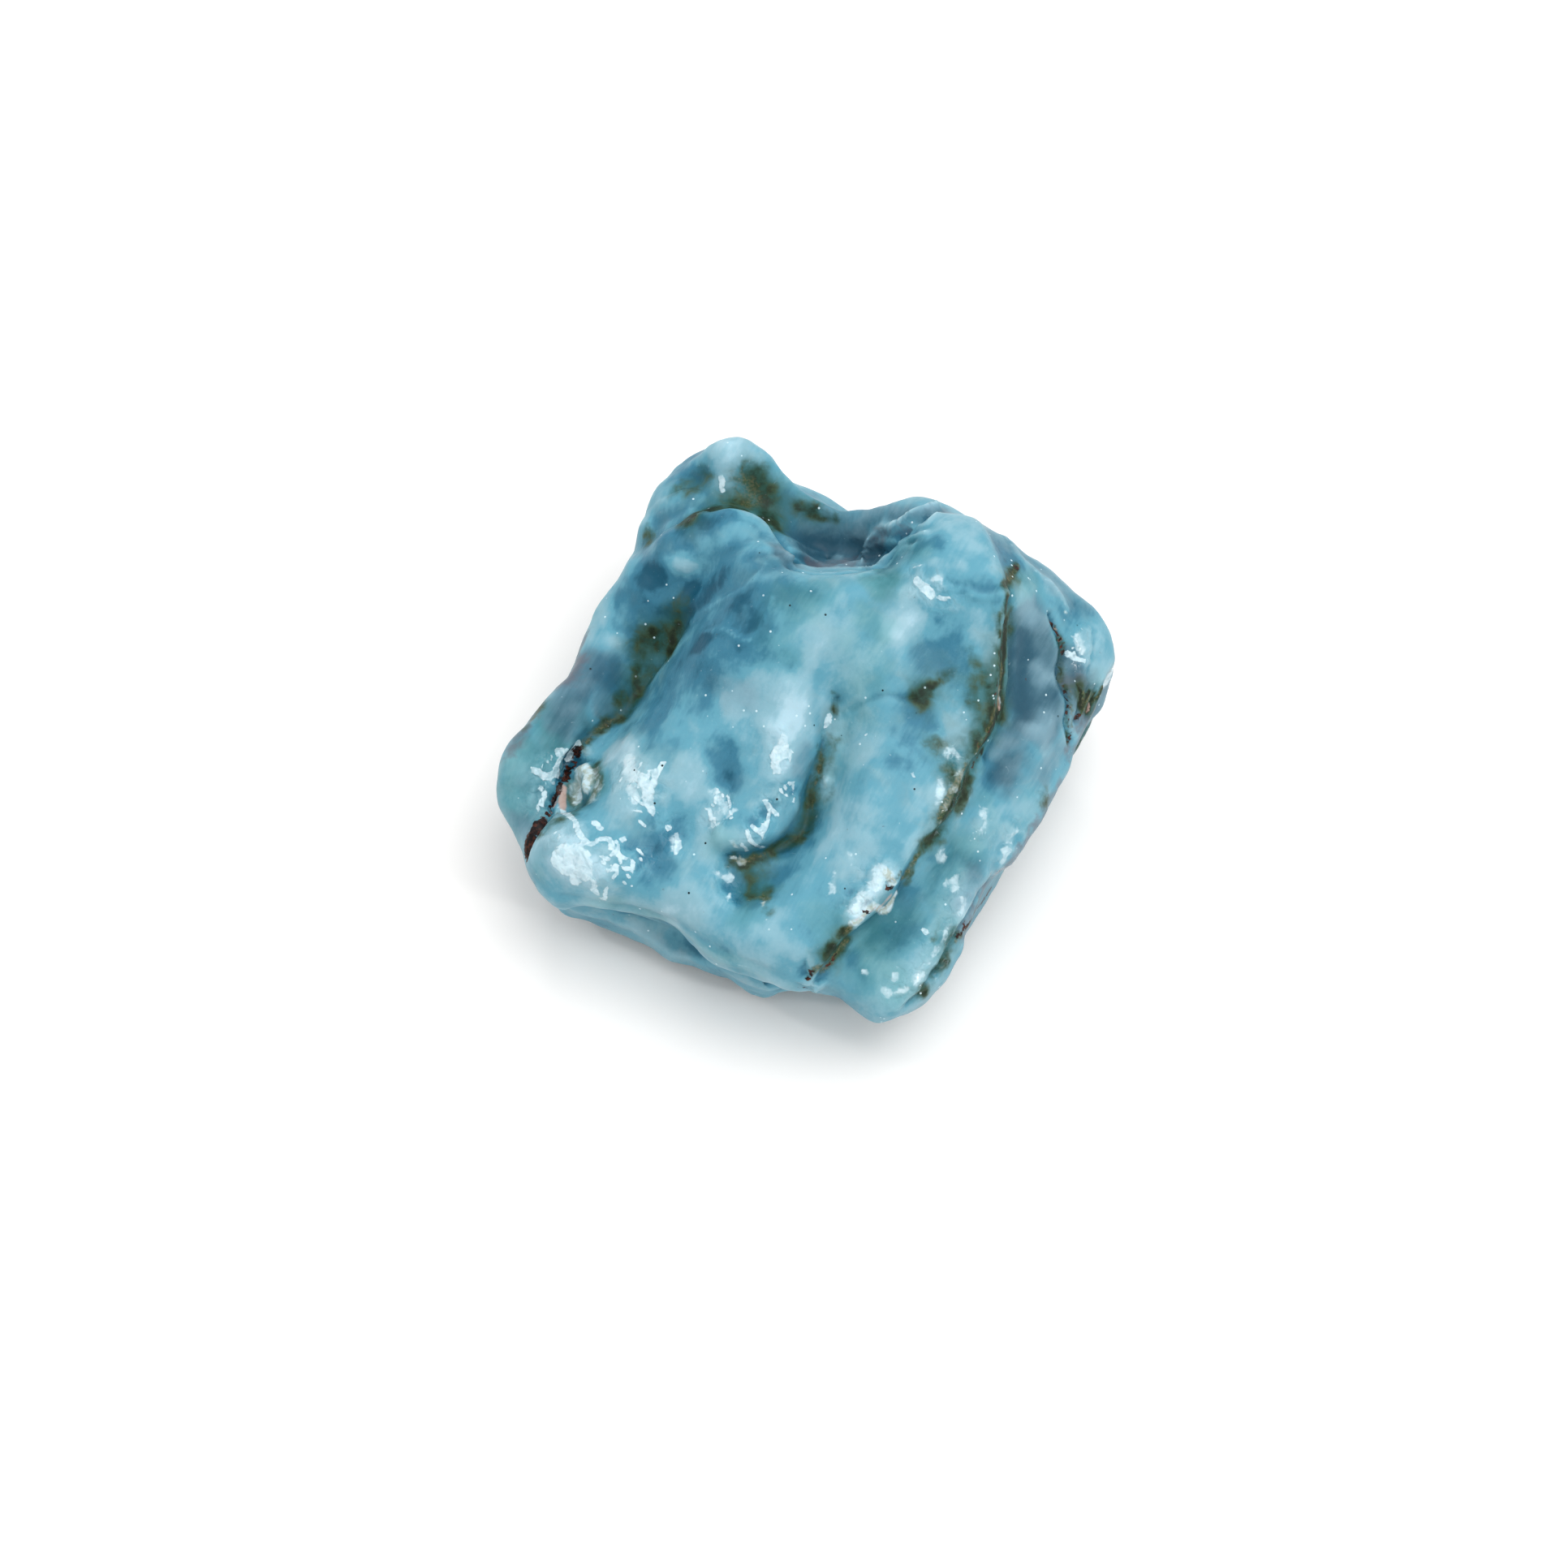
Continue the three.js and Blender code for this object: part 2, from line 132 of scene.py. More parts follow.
# Where the outline is eased in or out
NUDGES = (
    Nudge(1.5, (0.00, 0.00, 0.85), ((-8.5, 10.7, 11.0), (-7.6, 10.8, 11.8), (-6.6, 11.0, 12.2))),
    Nudge(2.2, (0.06, -0.46, -0.20), ((-6.2, 15.2, 12.4), (-4.9, 15.7, 12.8))),
    Nudge(1.8, (-0.06, -0.42, -0.14), ((-3.6, 15.6, 12.6), (-2.0, 14.8, 12.8))),
    Nudge(
        2.0, (-0.18, -0.76, -0.32),
        ((-0.8, 14.0, 12.2), (0.2, 13.4, 11.9), (1.2, 13.0, 11.6), (2.0, 12.6, 11.4)),
    ),
    Nudge(1.5, (0.00, -0.26, -0.10), ((3.8, 11.5, 12.4), (4.8, 11.3, 13.2))),
    Nudge(1.6, (0.04, -0.26, -0.12), ((-5.6, 15.0, 13.6), (-4.6, 15.1, 14.0))),
    Nudge(1.8, (-0.26, 0.12, 0.00), ((-8.3, 13.0, 11.0), (-9.0, 11.4, 10.6))),
    Nudge(1.5, (0.20, -0.14, 0.00), ((-9.9, 9.8, 10.1), (-10.4, 9.0, 9.8))),
    Nudge(1.9, (0.34, -0.18, -0.05), ((-13.8, 2.7, 8.4), (-14.9, 1.2, 8.4), (-15.3, 0.2, 8.6))),
    Nudge(2.0, (-0.22, -0.08, 0.00), ((-16.3, -4.6, 7.0), (-15.8, -6.0, 7.4))),
    Nudge(1.6, (0.14, 0.05, 0.00), ((-14.9, -8.0, 8.6), (-14.7, -9.4, 8.0))),
    Nudge(
        2.4, (0.06, 0.34, 0.00),
        ((-13.6, -8.3, 2.4), (-12.6, -9.0, 2.2), (-11.2, -9.6, 2.2), (-9.6, -10.3, 2.4)),
    ),
    Nudge(1.9, (0.24, 0.46, 0.00), ((-6.0, -11.9, 2.0), (-4.7, -12.5, 2.2))),
    Nudge(1.4, (0.05, 0.24, 0.00), ((-4.0, -12.8, 1.6), (-3.0, -13.5, 2.2))),
    Nudge(1.2, (0.00, 1.00, 0.25), ((-1.2, -14.6, 5.6), (-0.3, -14.9, 5.8))),
    Nudge(1.2, (0.00, 0.36, 0.10), ((-1.2, -14.2, 4.4), (-0.5, -14.3, 4.4))),
    Nudge(1.6, (-0.20, 0.08, 0.00), ((-11.3, 6.7, 9.2), (-12.1, 5.4, 8.7))),
    Nudge(1.4, (0.00, 0.10, 0.06), ((-0.6, 13.9, 10.4), (0.6, 13.7, 10.4))),
    Nudge(1.3, (-0.12, 0.10, 0.06), ((-6.8, 14.7, 11.6), (-6.4, 14.9, 11.6))),
    Nudge(
        1.6, (0.04, 0.36, 0.10),
        (
            (-12.4, -10.8, 7.6), (-10.0, -10.9, 7.2), (-8.0, -11.4, 7.2), (-6.6, -12.4, 7.5),
            (-4.6, -14.0, 7.9), (-2.6, -14.9, 7.8),
        ),
    ),
    Nudge(2.4, (0.05, -0.26, -0.32), ((3.4, -16.3, 4.6), (5.4, -15.6, 4.4), (6.6, -14.8, 4.6))),
    Nudge(2.2, (-0.74, 0.46, 0.00), ((15.4, 0.6, 6.6), (16.2, 1.3, 7.2), (16.9, 2.0, 7.6))),
    Nudge(
        2.0, (0.36, -0.12, 0.00),
        ((11.1, -7.3, 7.3), (12.6, -5.2, 7.6), (13.2, -4.0, 7.6), (13.6, -2.4, 6.8)),
    ),
    Nudge(1.6, (-0.14, 0.08, 0.00), ((9.8, -9.2, 6.8), (8.8, -11.2, 6.8))),
    Nudge(1.4, (0.24, -0.08, 0.00), ((7.8, -12.9, 6.2), (7.4, -13.7, 6.0))),
    Nudge(1.6, (0.20, 0.10, 0.04), ((16.6, 4.4, 9.6), (15.6, 6.0, 10.4))),
    Nudge(1.6, (-0.06, -0.24, -0.12), ((7.4, 9.6, 15.2), (8.7, 9.6, 14.8))),
    Nudge(1.6, (0.06, 0.22, 0.12), ((10.0, 9.1, 13.6), (11.0, 8.8, 12.8))),
)

# Broad corrections of the solid's form
TRIMS = (
    mound(1.2, -0.30, (-12.0, -10.8, 6.4), (-10.0, -10.9, 6.0), (-8.0, -11.3, 5.8), (-7.0, -11.8, 5.4)),
    mound(2.6, 0.25, (-5.4, 8.0), (-3.6, 8.2)),
    mound(1.4, 0.50, (-7.6, 11.8), (-6.8, 12.0), (-5.8, 12.0)),
    mound(1.6, 0.35, (-7.2, 9.2), (-6.2, 9.6)),
    mound(1.3, -0.28, (-8.4, 10.8), (-9.0, 10.0), (-9.1, 8.8), (-8.9, 7.6), (-8.0, 6.6), (-6.8, 6.2)),
    mound(1.5, 0.45, (-6.4, 5.4), (-5.0, 5.6), (-3.6, 6.1), (-2.2, 6.6)),
    mound(1.2, 0.25, (-4.7, 12.6), (-4.2, 14.4)),
    mound(1.6, 0.45, (-0.8, 8.5), (0.8, 8.5), (2.2, 8.4)),
    mound(1.0, -0.35, (2.6, 9.2), (3.0, 9.0)),
    mound(1.5, 0.35, (10.4, 7.8), (10.9, 6.8), (11.2, 5.6), (11.2, 4.6)),
    mound(1.6, 0.25, (-1.6, -3.0), (-1.5, -4.6)),
    mound(1.4, -0.25, (-4.6, -4.0), (-4.4, -5.0)),
    mound(1.6, 0.30, (-8.6, -4.6), (-9.6, -6.0)),
    mound(2.0, 0.25, (-12.4, -9.0), (-10.6, -9.6)),
    mound(1.6, -0.22, (-8.8, -8.6), (-8.0, -10.0)),
    mound(1.4, 0.20, (3.6, -5.6), (3.0, -8.4)),
    mound(1.4, -0.22, (10.2, -4.2), (10.8, -4.8)),
    mound(1.3, 0.22, (11.6, -2.6), (12.6, -1.2)),
    mound(1.3, 0.20, (9.4, -6.6), (8.8, -7.8)),
    mound(1.4, -0.20, (7.4, -9.6), (6.6, -10.8)),
    mound(1.4, 0.22, (6.0, -12.8), (5.2, -14.2)),
)

# Rims, creases and steps
FORMS = (
    step(
        1.3, 0.70, (-1.2, 6.9), (-1.6, 7.8), (-2.0, 8.7), (-2.4, 9.4), (-3.2, 9.8), (-4.0, 9.9),
        (-5.2, 9.8),
    ),
    edge(0.7, -0.16, (-3.2, 6.2), (-2.4, 6.4), (-1.4, 6.7)),
    edge(0.7, 0.22, (-1.2, 6.6), (0.0, 6.2), (1.6, 6.3), (2.8, 6.4), (3.8, 6.9), (4.6, 7.7), (5.6, 8.3)),
    edge(0.5, -0.20, (-1.0, 5.7), (0.4, 5.4), (1.8, 5.3), (3.2, 5.6), (4.2, 6.2)),
    edge(0.35, 0.12, (-1.2, 7.6), (0.0, 7.7), (1.2, 7.4)),
    edge(0.35, 0.16, (-1.0, 8.2), (0.2, 8.5), (1.4, 8.1), (2.6, 8.3)),
    edge(0.35, 0.12, (-0.6, 9.2), (0.8, 9.4), (1.8, 9.0)),
    edge(0.40, 0.13, (-5.6, 2.6), (-4.4, 2.1), (-3.3, 1.3), (-2.5, 1.9), (-1.9, 3.3)),
    edge(0.45, 0.12, (-6.4, 4.4), (-4.8, 4.4), (-3.3, 4.3), (-2.2, 5.6)),
    edge(0.7, 0.48, (3.0, 8.2), (3.2, 9.0), (3.6, 9.5), (4.3, 9.6), (5.0, 9.1), (5.8, 9.2), (6.8, 9.6)),
    edge(0.7, -0.36, (3.8, 8.7), (4.6, 8.2), (5.6, 8.4), (6.4, 9.0)),
    edge(0.45, 0.22, (3.4, 9.4), (3.8, 9.4), (4.6, 9.0), (5.7, 8.5), (6.3, 8.0), (7.0, 8.7)),
    edge(0.45, 0.32, (2.9, 8.7), (3.4, 9.0), (4.0, 9.0), (4.6, 8.5), (5.3, 7.6), (5.9, 7.4), (6.3, 7.3)),
    edge(0.40, 0.26, (4.3, 9.4), (5.1, 9.1), (6.2, 9.2), (7.0, 9.6)),
    edge(0.45, -0.20, (3.2, 7.9), (4.2, 8.2), (5.0, 7.9), (5.6, 7.0)),
    edge(0.40, 0.18, (2.8, 6.2), (3.7, 6.9), (4.4, 7.4), (5.1, 7.3), (5.7, 6.7)),
    edge(0.40, 0.14, (2.8, 4.8), (3.6, 5.4), (4.5, 6.9), (4.9, 7.1)),
    edge(0.6, -0.08, (7.8, 3.9), (8.8, 3.7), (9.5, 3.6), (10.1, 3.8), (10.6, 4.4)),
    edge(0.5, 0.14, (8.7, 3.3), (9.6, 3.2), (10.2, 3.5)),
    edge(
        0.5, 0.20, (10.6, 8.6), (11.0, 8.0), (11.4, 7.0), (12.1, 6.6), (12.8, 6.2), (13.4, 5.9),
        (14.0, 5.0),
    ),
    mound(0.8, -0.12, (12.2, 7.4), (13.2, 6.8), (14.4, 5.8)),
    step(
        1.0, 0.55, (0.1, -15.4), (1.1, -14.4), (1.9, -13.5), (2.6, -12.9), (4.4, -11.3), (5.0, -10.2),
        (5.9, -8.8), (6.9, -7.8), (7.6, -6.8), (8.1, -5.8), (8.4, -4.8), (9.2, -3.5), (9.9, -2.2),
        (10.1, -0.8), (10.2, 0.4), (10.3, 1.6), (10.5, 2.8), (10.6, 3.4),
    ),
    edge(0.6, -0.30, (11.0, 3.2), (10.9, 1.4), (10.8, -0.4), (10.4, -2.0), (9.6, -3.6)),
    edge(
        0.5, -0.38, (13.1, 4.2), (13.3, 3.9), (13.6, 3.4), (13.8, 2.8), (13.7, 2.2), (13.6, 1.7),
        (13.8, 1.1), (14.1, 0.6), (14.1, 0.0), (14.0, -0.6), (14.2, -1.2),
    ),
    edge(0.4, -0.20, (14.6, 1.6), (14.8, 1.1), (14.7, 0.5)),
    edge(0.4, -0.26, (15.3, 1.5), (15.0, 0.8), (14.7, 0.2), (14.5, -0.3)),
    edge(0.4, -0.22, (15.7, 1.6), (15.4, 0.9), (15.1, 0.2)),
    edge(0.4, -0.20, (16.4, 2.5), (16.1, 1.9), (15.7, 1.1)),
    edge(0.4, -0.16, (15.6, 4.4), (15.5, 3.3), (15.3, 2.4), (15.2, 1.9)),
    edge(0.4, 0.16, (14.0, 2.7), (14.6, 2.6), (15.2, 2.6)),
    edge(
        0.9, -0.42, (1.5, -1.2), (1.0, -2.4), (0.8, -3.4), (0.4, -4.4), (0.1, -5.4), (0.0, -6.4),
        (-0.3, -7.3), (-1.0, -7.9), (-2.0, -8.6), (-3.2, -9.0), (-4.2, -9.0),
    ),
    mound(1.0, 0.35, (-1.0, -6.4), (-1.9, -7.6), (-3.2, -8.2), (-4.4, -8.2)),
    mound(0.5, 0.28, (0.95, -4.8)),
    edge(
        1.0, -0.40, (-6.6, 4.8), (-7.6, 3.8), (-8.6, 2.8), (-9.5, 1.8), (-10.0, 0.8), (-11.4, -0.2),
        (-12.2, -1.2), (-12.6, -1.9),
    ),
    mound(
        0.7, 0.14, (-14.4, -9.8, 7.6), (-13.0, -10.6, 7.7), (-11.8, -10.8, 7.7), (-10.1, -10.8, 7.3),
        (-8.0, -11.3, 7.3), (-7.2, -11.7, 7.4), (-6.4, -12.6, 7.6), (-5.0, -13.8, 7.7), (-3.7, -14.5, 8.0),
        (-1.8, -15.2, 7.6), (0.0, -15.4, 7.0),
    ),
    mound(
        1.3, -0.55, (-12.6, -10.6, 5.6), (-10.4, -10.6, 5.4), (-8.4, -10.9, 4.8), (-6.9, -11.6, 4.4),
        (-5.6, -12.9, 5.2), (-3.6, -14.2, 6.0), (-1.6, -15.0, 5.6),
    ),
    edge(
        0.6, -0.35, (9.8, -9.1, 7.2), (9.3, -10.1, 7.6), (8.6, -11.4, 7.6), (7.9, -12.6, 7.6),
        (7.2, -13.8, 7.2), (6.4, -15.0, 6.8), (5.4, -15.9, 6.3),
    ),
    edge(0.4, -0.14, (2.3, -1.7), (3.2, -1.6), (4.2, -1.4), (5.6, -1.5)),
    # the back and the sides
    edge(0.7, -0.40, (11.4, 8.4, 12.4), (11.0, 9.9, 10.6), (10.6, 10.5, 8.2), (10.2, 9.6, 5.2)),
    step(1.2, 0.45, (-2.4, 15.0, 6.6), (1.5, 13.3, 7.6), (5.0, 12.0, 7.8), (8.5, 11.4, 8.2)),
    edge(0.6, -0.30, (-9.6, 10.6, 9.0), (-9.4, 11.0, 6.0), (-8.4, 9.5, 3.0)),
    mound(1.6, -0.35, (4.6, 11.9, 5.0)),
    mound(2.0, 0.30, (-4.6, 15.4, 5.0)),
    step(1.1, 0.40, (-16.2, -1.0, 5.8), (-14.2, 2.4, 5.6), (-12.2, 5.0, 6.0), (-10.8, 8.0, 6.4)),
    edge(0.5, -0.30, (-15.0, -5.6, 5.0), (-14.6, -4.0, 3.0), (-14.0, -2.0, 1.5)),
    step(1.1, 0.40, (16.4, 5.0, 5.6), (16.0, 2.0, 4.8), (14.2, -1.4, 5.2), (12.2, -4.4, 5.0)),
    edge(0.5, -0.35, (15.2, 7.2, 10.0), (14.8, 7.8, 7.0), (14.2, 7.4, 4.0)),
    mound(0.9, 0.45, (2.2, -12.6), (3.0, -11.8), (3.8, -10.9), (4.2, -10.3)),
)

# Cracks, pits and grains
CUTS = (
    edge(
        0.55, -0.80, (-12.6, -1.7), (-12.9, -2.3), (-13.1, -2.9), (-13.4, -3.5), (-13.7, -4.3),
        (-13.9, -5.0), (-14.0, -5.9), (-14.3, -6.5), (-14.7, -7.0), (-15.1, -7.9),
    ),
    mound(1.1, -0.55, (-12.5, -2.6), (-12.3, -3.6), (-12.4, -4.6), (-12.6, -5.2)),
    mound(0.75, 0.75, (-12.2, -2.8), (-12.0, -3.5), (-12.0, -4.1)),
    mound(0.30, 0.20, (-12.6, -4.7)),
    mound(0.32, 0.30, (-13.4, -3.6), (-13.6, -4.0)),
    mound(0.32, 0.30, (-13.9, -4.7)),
    mound(0.32, 0.32, (-14.0, -5.3)),
    mound(0.40, 0.32, (-14.5, -6.3), (-14.8, -6.9)),
    edge(0.35, -0.40, (4.4, -11.0), (4.2, -11.1)),
    edge(0.35, -0.40, (3.2, -12.1), (2.9, -12.3)),
    edge(0.30, -0.30, (-13.4, -3.0), (-13.0, -2.8)),
)


class Mineral(Enum):
    """What is painted, each in the weight that the shader reads by this name."""

    CLOUD = "cloud"  # paler where it is positive, deeper where it is negative
    TEAL = "teal"
    SLATE = "slate"
    MOSS = "moss"
    OCHRE = "ochre"
    RUST = "rust"
    BLUSH = "blush"
    CREAM = "cream"
    SKIN = "skin"  # painted highlights, laid as a white, wet-looking skin
    THREAD = "thread"  # painted highlights and glints, laid as white films and threads with clean edges
    MAUVE = "mauve"
    CRINKLE = "crinkle"  # where the surface is broken into small shining chips


STAINS: dict[Mineral, tuple[Stain, ...]] = {
    Mineral.CLOUD: (
        # the head, the boss and the hollow
        stain(1.2, 0.12, (-3.1, 13.6), (-4.4, 13.2)),
        stain(1.6, -0.40, (-7.0, 13.0), (-6.4, 12.4)),
        stain(1.5, 0.30, (-4.8, 12.8), (-4.4, 14.2)),
        stain(1.2, 0.30, (-4.4, 12.2)),
        stain(1.8, -0.40, (-1.8, 11.2), (-0.2, 11.4)),
        stain(1.5, -0.55, (-7.8, 11.0), (-6.8, 10.8)),
        stain(1.2, -0.30, (-5.9, 9.7), (-4.4, 9.5)),
        stain(1.0, -0.40, (-5.9, 9.6)),
        stain(1.2, -0.25, (-4.4, 9.4)),
        stain(1.8, -0.35, (-7.4, 9.2), (-4.4, 9.2)),
        stain(1.3, 0.20, (-4.0, 9.0), (-2.6, 8.8)),
        stain(1.6, -0.35, (-6.4, 8.6), (-8.6, 7.8)),
        stain(1.8, -0.30, (-8.6, 7.8), (-7.3, 8.6), (-5.8, 8.4)),
        stain(2.2, -0.20, (-3.0, 7.8), (-2.0, 6.6)),
        # pale spots on the front of the boss: a painted highlight
        stain(0.9, 0.40, (-7.0, 7.3), (-6.6, 7.0)),
        stain(1.7, 0.40, (-5.6, 7.2), (-6.6, 7.4)),
        # the lobe and the knob
        stain(0.9, 0.35, (6.4, 7.4), (7.4, 7.5)),
        stain(1.2, -0.40, (6.4, 6.6), (7.0, 6.6)),
        stain(1.2, 0.40, (8.2, 6.6), (9.0, 6.0)),
        stain(1.5, -0.25, (6.7, 6.6), (8.1, 6.4)),
        stain(1.4, 0.40, (6.8, 6.6), (7.6, 6.4)),
        stain(1.8, -0.40, (8.1, 6.4), (9.0, 6.0)),
        stain(1.2, -0.35, (4.6, 6.2), (5.4, 6.0)),
        stain(1.8, 0.45, (8.6, 6.0), (9.4, 4.8)),
        stain(1.6, -0.35, (11.0, 6.0), (10.6, 5.0)),
        stain(1.6, -0.25, (10.9, 5.9), (12.3, 5.1), (13.7, 4.4)),
        stain(1.0, 0.40, (6.2, 5.6), (7.2, 5.3), (8.2, 5.4)),
        stain(1.2, -0.20, (7.6, 5.6), (6.6, 5.2)),
        stain(0.9, 0.40, (10.8, 5.2), (11.4, 4.4), (12.0, 3.6)),
        stain(1.6, 0.30, (7.6, 4.9), (6.6, 4.8)),
        stain(1.4, -0.20, (9.0, 3.7), (9.8, 3.4)),
        stain(1.6, 0.35, (15.2, 3.6), (15.8, 2.6)),
        stain(1.2, -0.45, (13.0, 0.2), (12.2, -0.4)),
        # the left flank and its seam
        stain(1.8, -0.50, (-8.6, 6.6), (-8.6, 4.8)),
        stain(1.8, -0.30, (-8.6, 6.3), (-7.2, 5.8), (-5.8, 4.4)),
        stain(1.9, -0.35, (-9.9, 6.0), (-9.1, 7.0)),
        stain(1.6, -0.30, (-10.1, 5.7), (-9.6, 6.6)),
        stain(1.3, -0.25, (-7.3, 5.4), (-6.4, 5.8)),
        stain(1.4, -0.75, (-7.0, 5.4), (-6.0, 5.2), (-4.8, 5.6)),
        stain(1.0, -0.35, (-6.0, 3.0), (-5.6, 2.0)),
        stain(2.2, -0.50, (-11.8, 2.6), (-12.9, 0.8), (-12.9, -0.6)),
        stain(1.4, 0.35, (-11.8, 2.1, 1.9)),
        stain(2.0, -0.35, (-7.4, 1.8), (-5.0, 1.4)),
        stain(2.2, -0.35, (-7.6, -0.6), (-8.2, -1.8)),
        # the left slab, its crack and its grain
        stain(1.6, 0.60, (-10.4, -2.0), (-9.8, -3.0)),
        stain(1.4, 0.30, (-12.9, -2.0, 8.6), (-12.6, -9.9)),
        stain(2.4, 0.40, (-10.4, -2.6), (-9.8, -4.4)),
        stain(1.0, 0.60, (-12.4, -3.2), (-12.4, -4.0)),
        stain(2.2, 0.50, (-9.6, -4.6), (-8.6, -5.6)),
        stain(1.4, 0.30, (-6.8, -4.8), (-6.2, -5.6)),
        stain(2.4, 0.35, (-10.8, -6.8), (-12.2, -8.2)),
        stain(1.4, -0.40, (-6.6, -7.6), (-7.2, -6.8)),
        stain(2.2, -0.50, (-8.6, -8.2), (-8.3, -9.2), (-8.4, -9.8)),
        stain(2.6, 0.45, (-13.4, -9.0), (-11.8, -10.0)),
        stain(1.6, 0.35, (-12.6, -9.8), (-11.2, -10.1)),
        stain(1.3, 0.40, (-11.4, -10.6, 8.0)),
        stain(1.8, 0.25, (-11.6, -10.6, 8.2), (-10.0, -10.8, 8.2), (-7.4, -11.6, 7.6)),
        stain(1.8, 0.35, (-7.4, -10.8), (-6.8, -11.4)),
        stain(1.4, 0.40, (-7.2, -10.9, 4.4), (-9.5, -10.4, 4.2)),
        stain(1.2, 0.35, (-7.1, -11.7, 7.3), (-5.7, -12.9, 6.6)),
        stain(1.3, 0.20, (-7.0, -11.8, 7.4), (-5.6, -12.9, 7.2), (-3.6, -14.3, 8.0), (-1.6, -15.0, 7.6)),
        # the ridge, the groove and the band
        stain(1.6, -0.28, (-4.0, 6.0), (-2.8, 6.2)),
        stain(1.8, -0.40, (-3.6, 5.8), (-1.6, 5.6)),
        stain(1.5, -0.45, (4.2, 4.8), (3.8, 5.4)),
        stain(1.6, -0.30, (-0.8, 4.4), (0.4, 4.2)),
        stain(1.8, -0.40, (4.0, 3.8), (2.6, 3.6)),
        stain(2.4, -0.55, (-3.4, 3.4), (-3.2, 2.2), (-3.8, 1.6)),
        stain(2.4, 0.20, (2.6, 3.4), (4.2, 3.4), (5.2, 3.2)),
        stain(1.4, 0.25, (5.2, 2.6), (4.6, 1.4)),
        stain(2.0, 0.40, (5.2, 2.6), (6.2, 3.6)),
        stain(1.6, 0.35, (5.4, 2.6), (5.0, 1.6)),
        stain(2.0, 0.50, (9.2, 2.2), (9.6, 1.2)),
        stain(1.3, 0.25, (6.6, 1.4)),
        stain(2.2, 0.60, (0.8, 1.4), (2.0, 1.0), (2.4, 0.4)),
        stain(1.2, 0.22, (-0.3, 1.2), (-1.6, -0.3)),
        stain(1.8, -0.25, (-3.1, 1.1), (-3.0, 3.8), (-1.6, 3.8)),
        stain(1.8, -0.35, (-5.8, 0.8), (-5.6, 0.2)),
        stain(2.0, -0.20, (6.4, 0.8), (7.4, 1.4)),
        stain(1.0, -0.15, (-1.6, 0.6), (-0.8, 0.2)),
        stain(1.5, -0.25, (-4.4, 0.1), (-5.7, -0.9)),
        stain(1.5, 0.25, (-0.3, -0.2)),
        stain(1.8, -0.55, (-5.8, -0.2), (-5.6, -1.4)),
        stain(1.5, 0.38, (-2.6, -0.8), (-1.6, -0.9), (-0.8, -1.6), (-0.7, -2.6)),
        stain(2.6, 0.40, (-4.8, -1.0), (-3.2, -1.8), (-1.8, -2.4)),
        stain(1.3, 0.25, (2.5, -1.1)),
        stain(2.0, -0.40, (8.0, -1.2), (6.8, -1.8)),
        stain(1.6, 0.45, (7.2, -1.2), (7.8, -2.6), (7.6, -3.4)),
        stain(1.4, 0.35, (1.1, -1.2), (1.2, -2.0)),
        stain(2.0, -0.35, (6.2, -1.8), (5.2, -2.4)),
        stain(1.2, 0.25, (1.1, -1.9), (1.2, -3.2)),
        stain(1.8, 0.50, (-0.9, -2.2), (-1.5, -3.4), (-1.6, -4.8)),
        stain(2.0, 0.30, (4.0, -2.8), (2.4, -3.8)),
        stain(2.4, 0.25, (6.6, -3.2), (7.4, -2.2)),
        stain(2.2, -0.40, (-4.8, -3.8), (-4.5, -4.4)),
        stain(1.3, -0.30, (9.6, -4.0), (10.4, -4.6)),
        stain(1.8, -0.15, (4.6, -4.4), (4.8, -5.2)),
        stain(1.2, 0.30, (1.1, -4.5), (1.1, -5.8), (1.2, -7.5)),
        stain(1.3, 0.30, (-3.1, -4.9)),
        stain(2.2, 0.40, (-5.8, -5.0), (-6.0, -6.4), (-6.8, -7.2)),
        stain(1.2, 0.35, (1.2, -5.6), (1.2, -4.4)),
        stain(1.3, 0.35, (8.0, -6.1), (6.6, -6.6)),
        stain(1.2, 0.25, (-3.0, -6.3)),
        stain(2.0, 0.40, (1.8, -6.4), (2.4, -7.2)),
        stain(1.2, 0.25, (6.6, -6.6)),
        stain(2.6, 0.35, (5.0, -7.0), (4.4, -8.6)),
        stain(2.2, 0.30, (1.6, -8.2), (2.8, -9.4)),
        stain(1.2, 0.30, (-3.0, -8.6)),
        stain(2.4, 0.30, (-5.6, -9.0), (-6.2, -10.6), (-5.4, -12.0)),
        stain(1.4, -0.30, (-5.8, -10.2)),
        stain(1.8, -0.45, (-3.6, -10.6), (-3.4, -11.8)),
        stain(2.0, -0.35, (5.0, -11.2), (4.2, -12.6)),
        stain(2.0, -0.30, (0.8, -11.4), (1.2, -12.4)),
        stain(1.4, 0.30, (2.5, -13.1), (3.8, -13.7)),
        stain(1.6, -0.45, (-0.3, -13.4)),
        stain(2.6, 0.35, (-3.0, -13.4), (-1.4, -13.8)),
        stain(1.8, 0.40, (-2.0, -14.9, 7.6), (-3.0, -14.4, 8.6)),
        # the right-hand layer
        stain(2.0, -0.40, (12.4, 2.4), (13.8, 2.0)),
        stain(1.6, -0.50, (11.2, 2.4), (11.0, 0.4), (11.0, -0.8)),
        stain(1.0, 0.25, (12.3, 1.4), (12.6, 0.8)),
        stain(0.7, 0.25, (11.2, 1.2), (12.2, 1.6), (13.0, 1.2)),
        stain(1.8, 0.30, (12.8, -1.0), (13.2, -2.2)),
        stain(0.7, 0.20, (11.0, -1.2), (12.0, -1.4), (12.8, -2.2)),
        stain(2.0, 0.22, (9.4, -5.6), (8.6, -6.6)),
        stain(2.2, 0.25, (10.8, -6.0), (10.6, -7.4)),
        stain(2.0, -0.15, (8.4, -8.4), (7.6, -9.2)),
        stain(1.4, 0.25, (8.0, -9.6)),
        stain(1.4, 0.30, (7.9, -9.6)),
        stain(2.2, 0.40, (7.6, -11.2), (6.8, -12.8)),
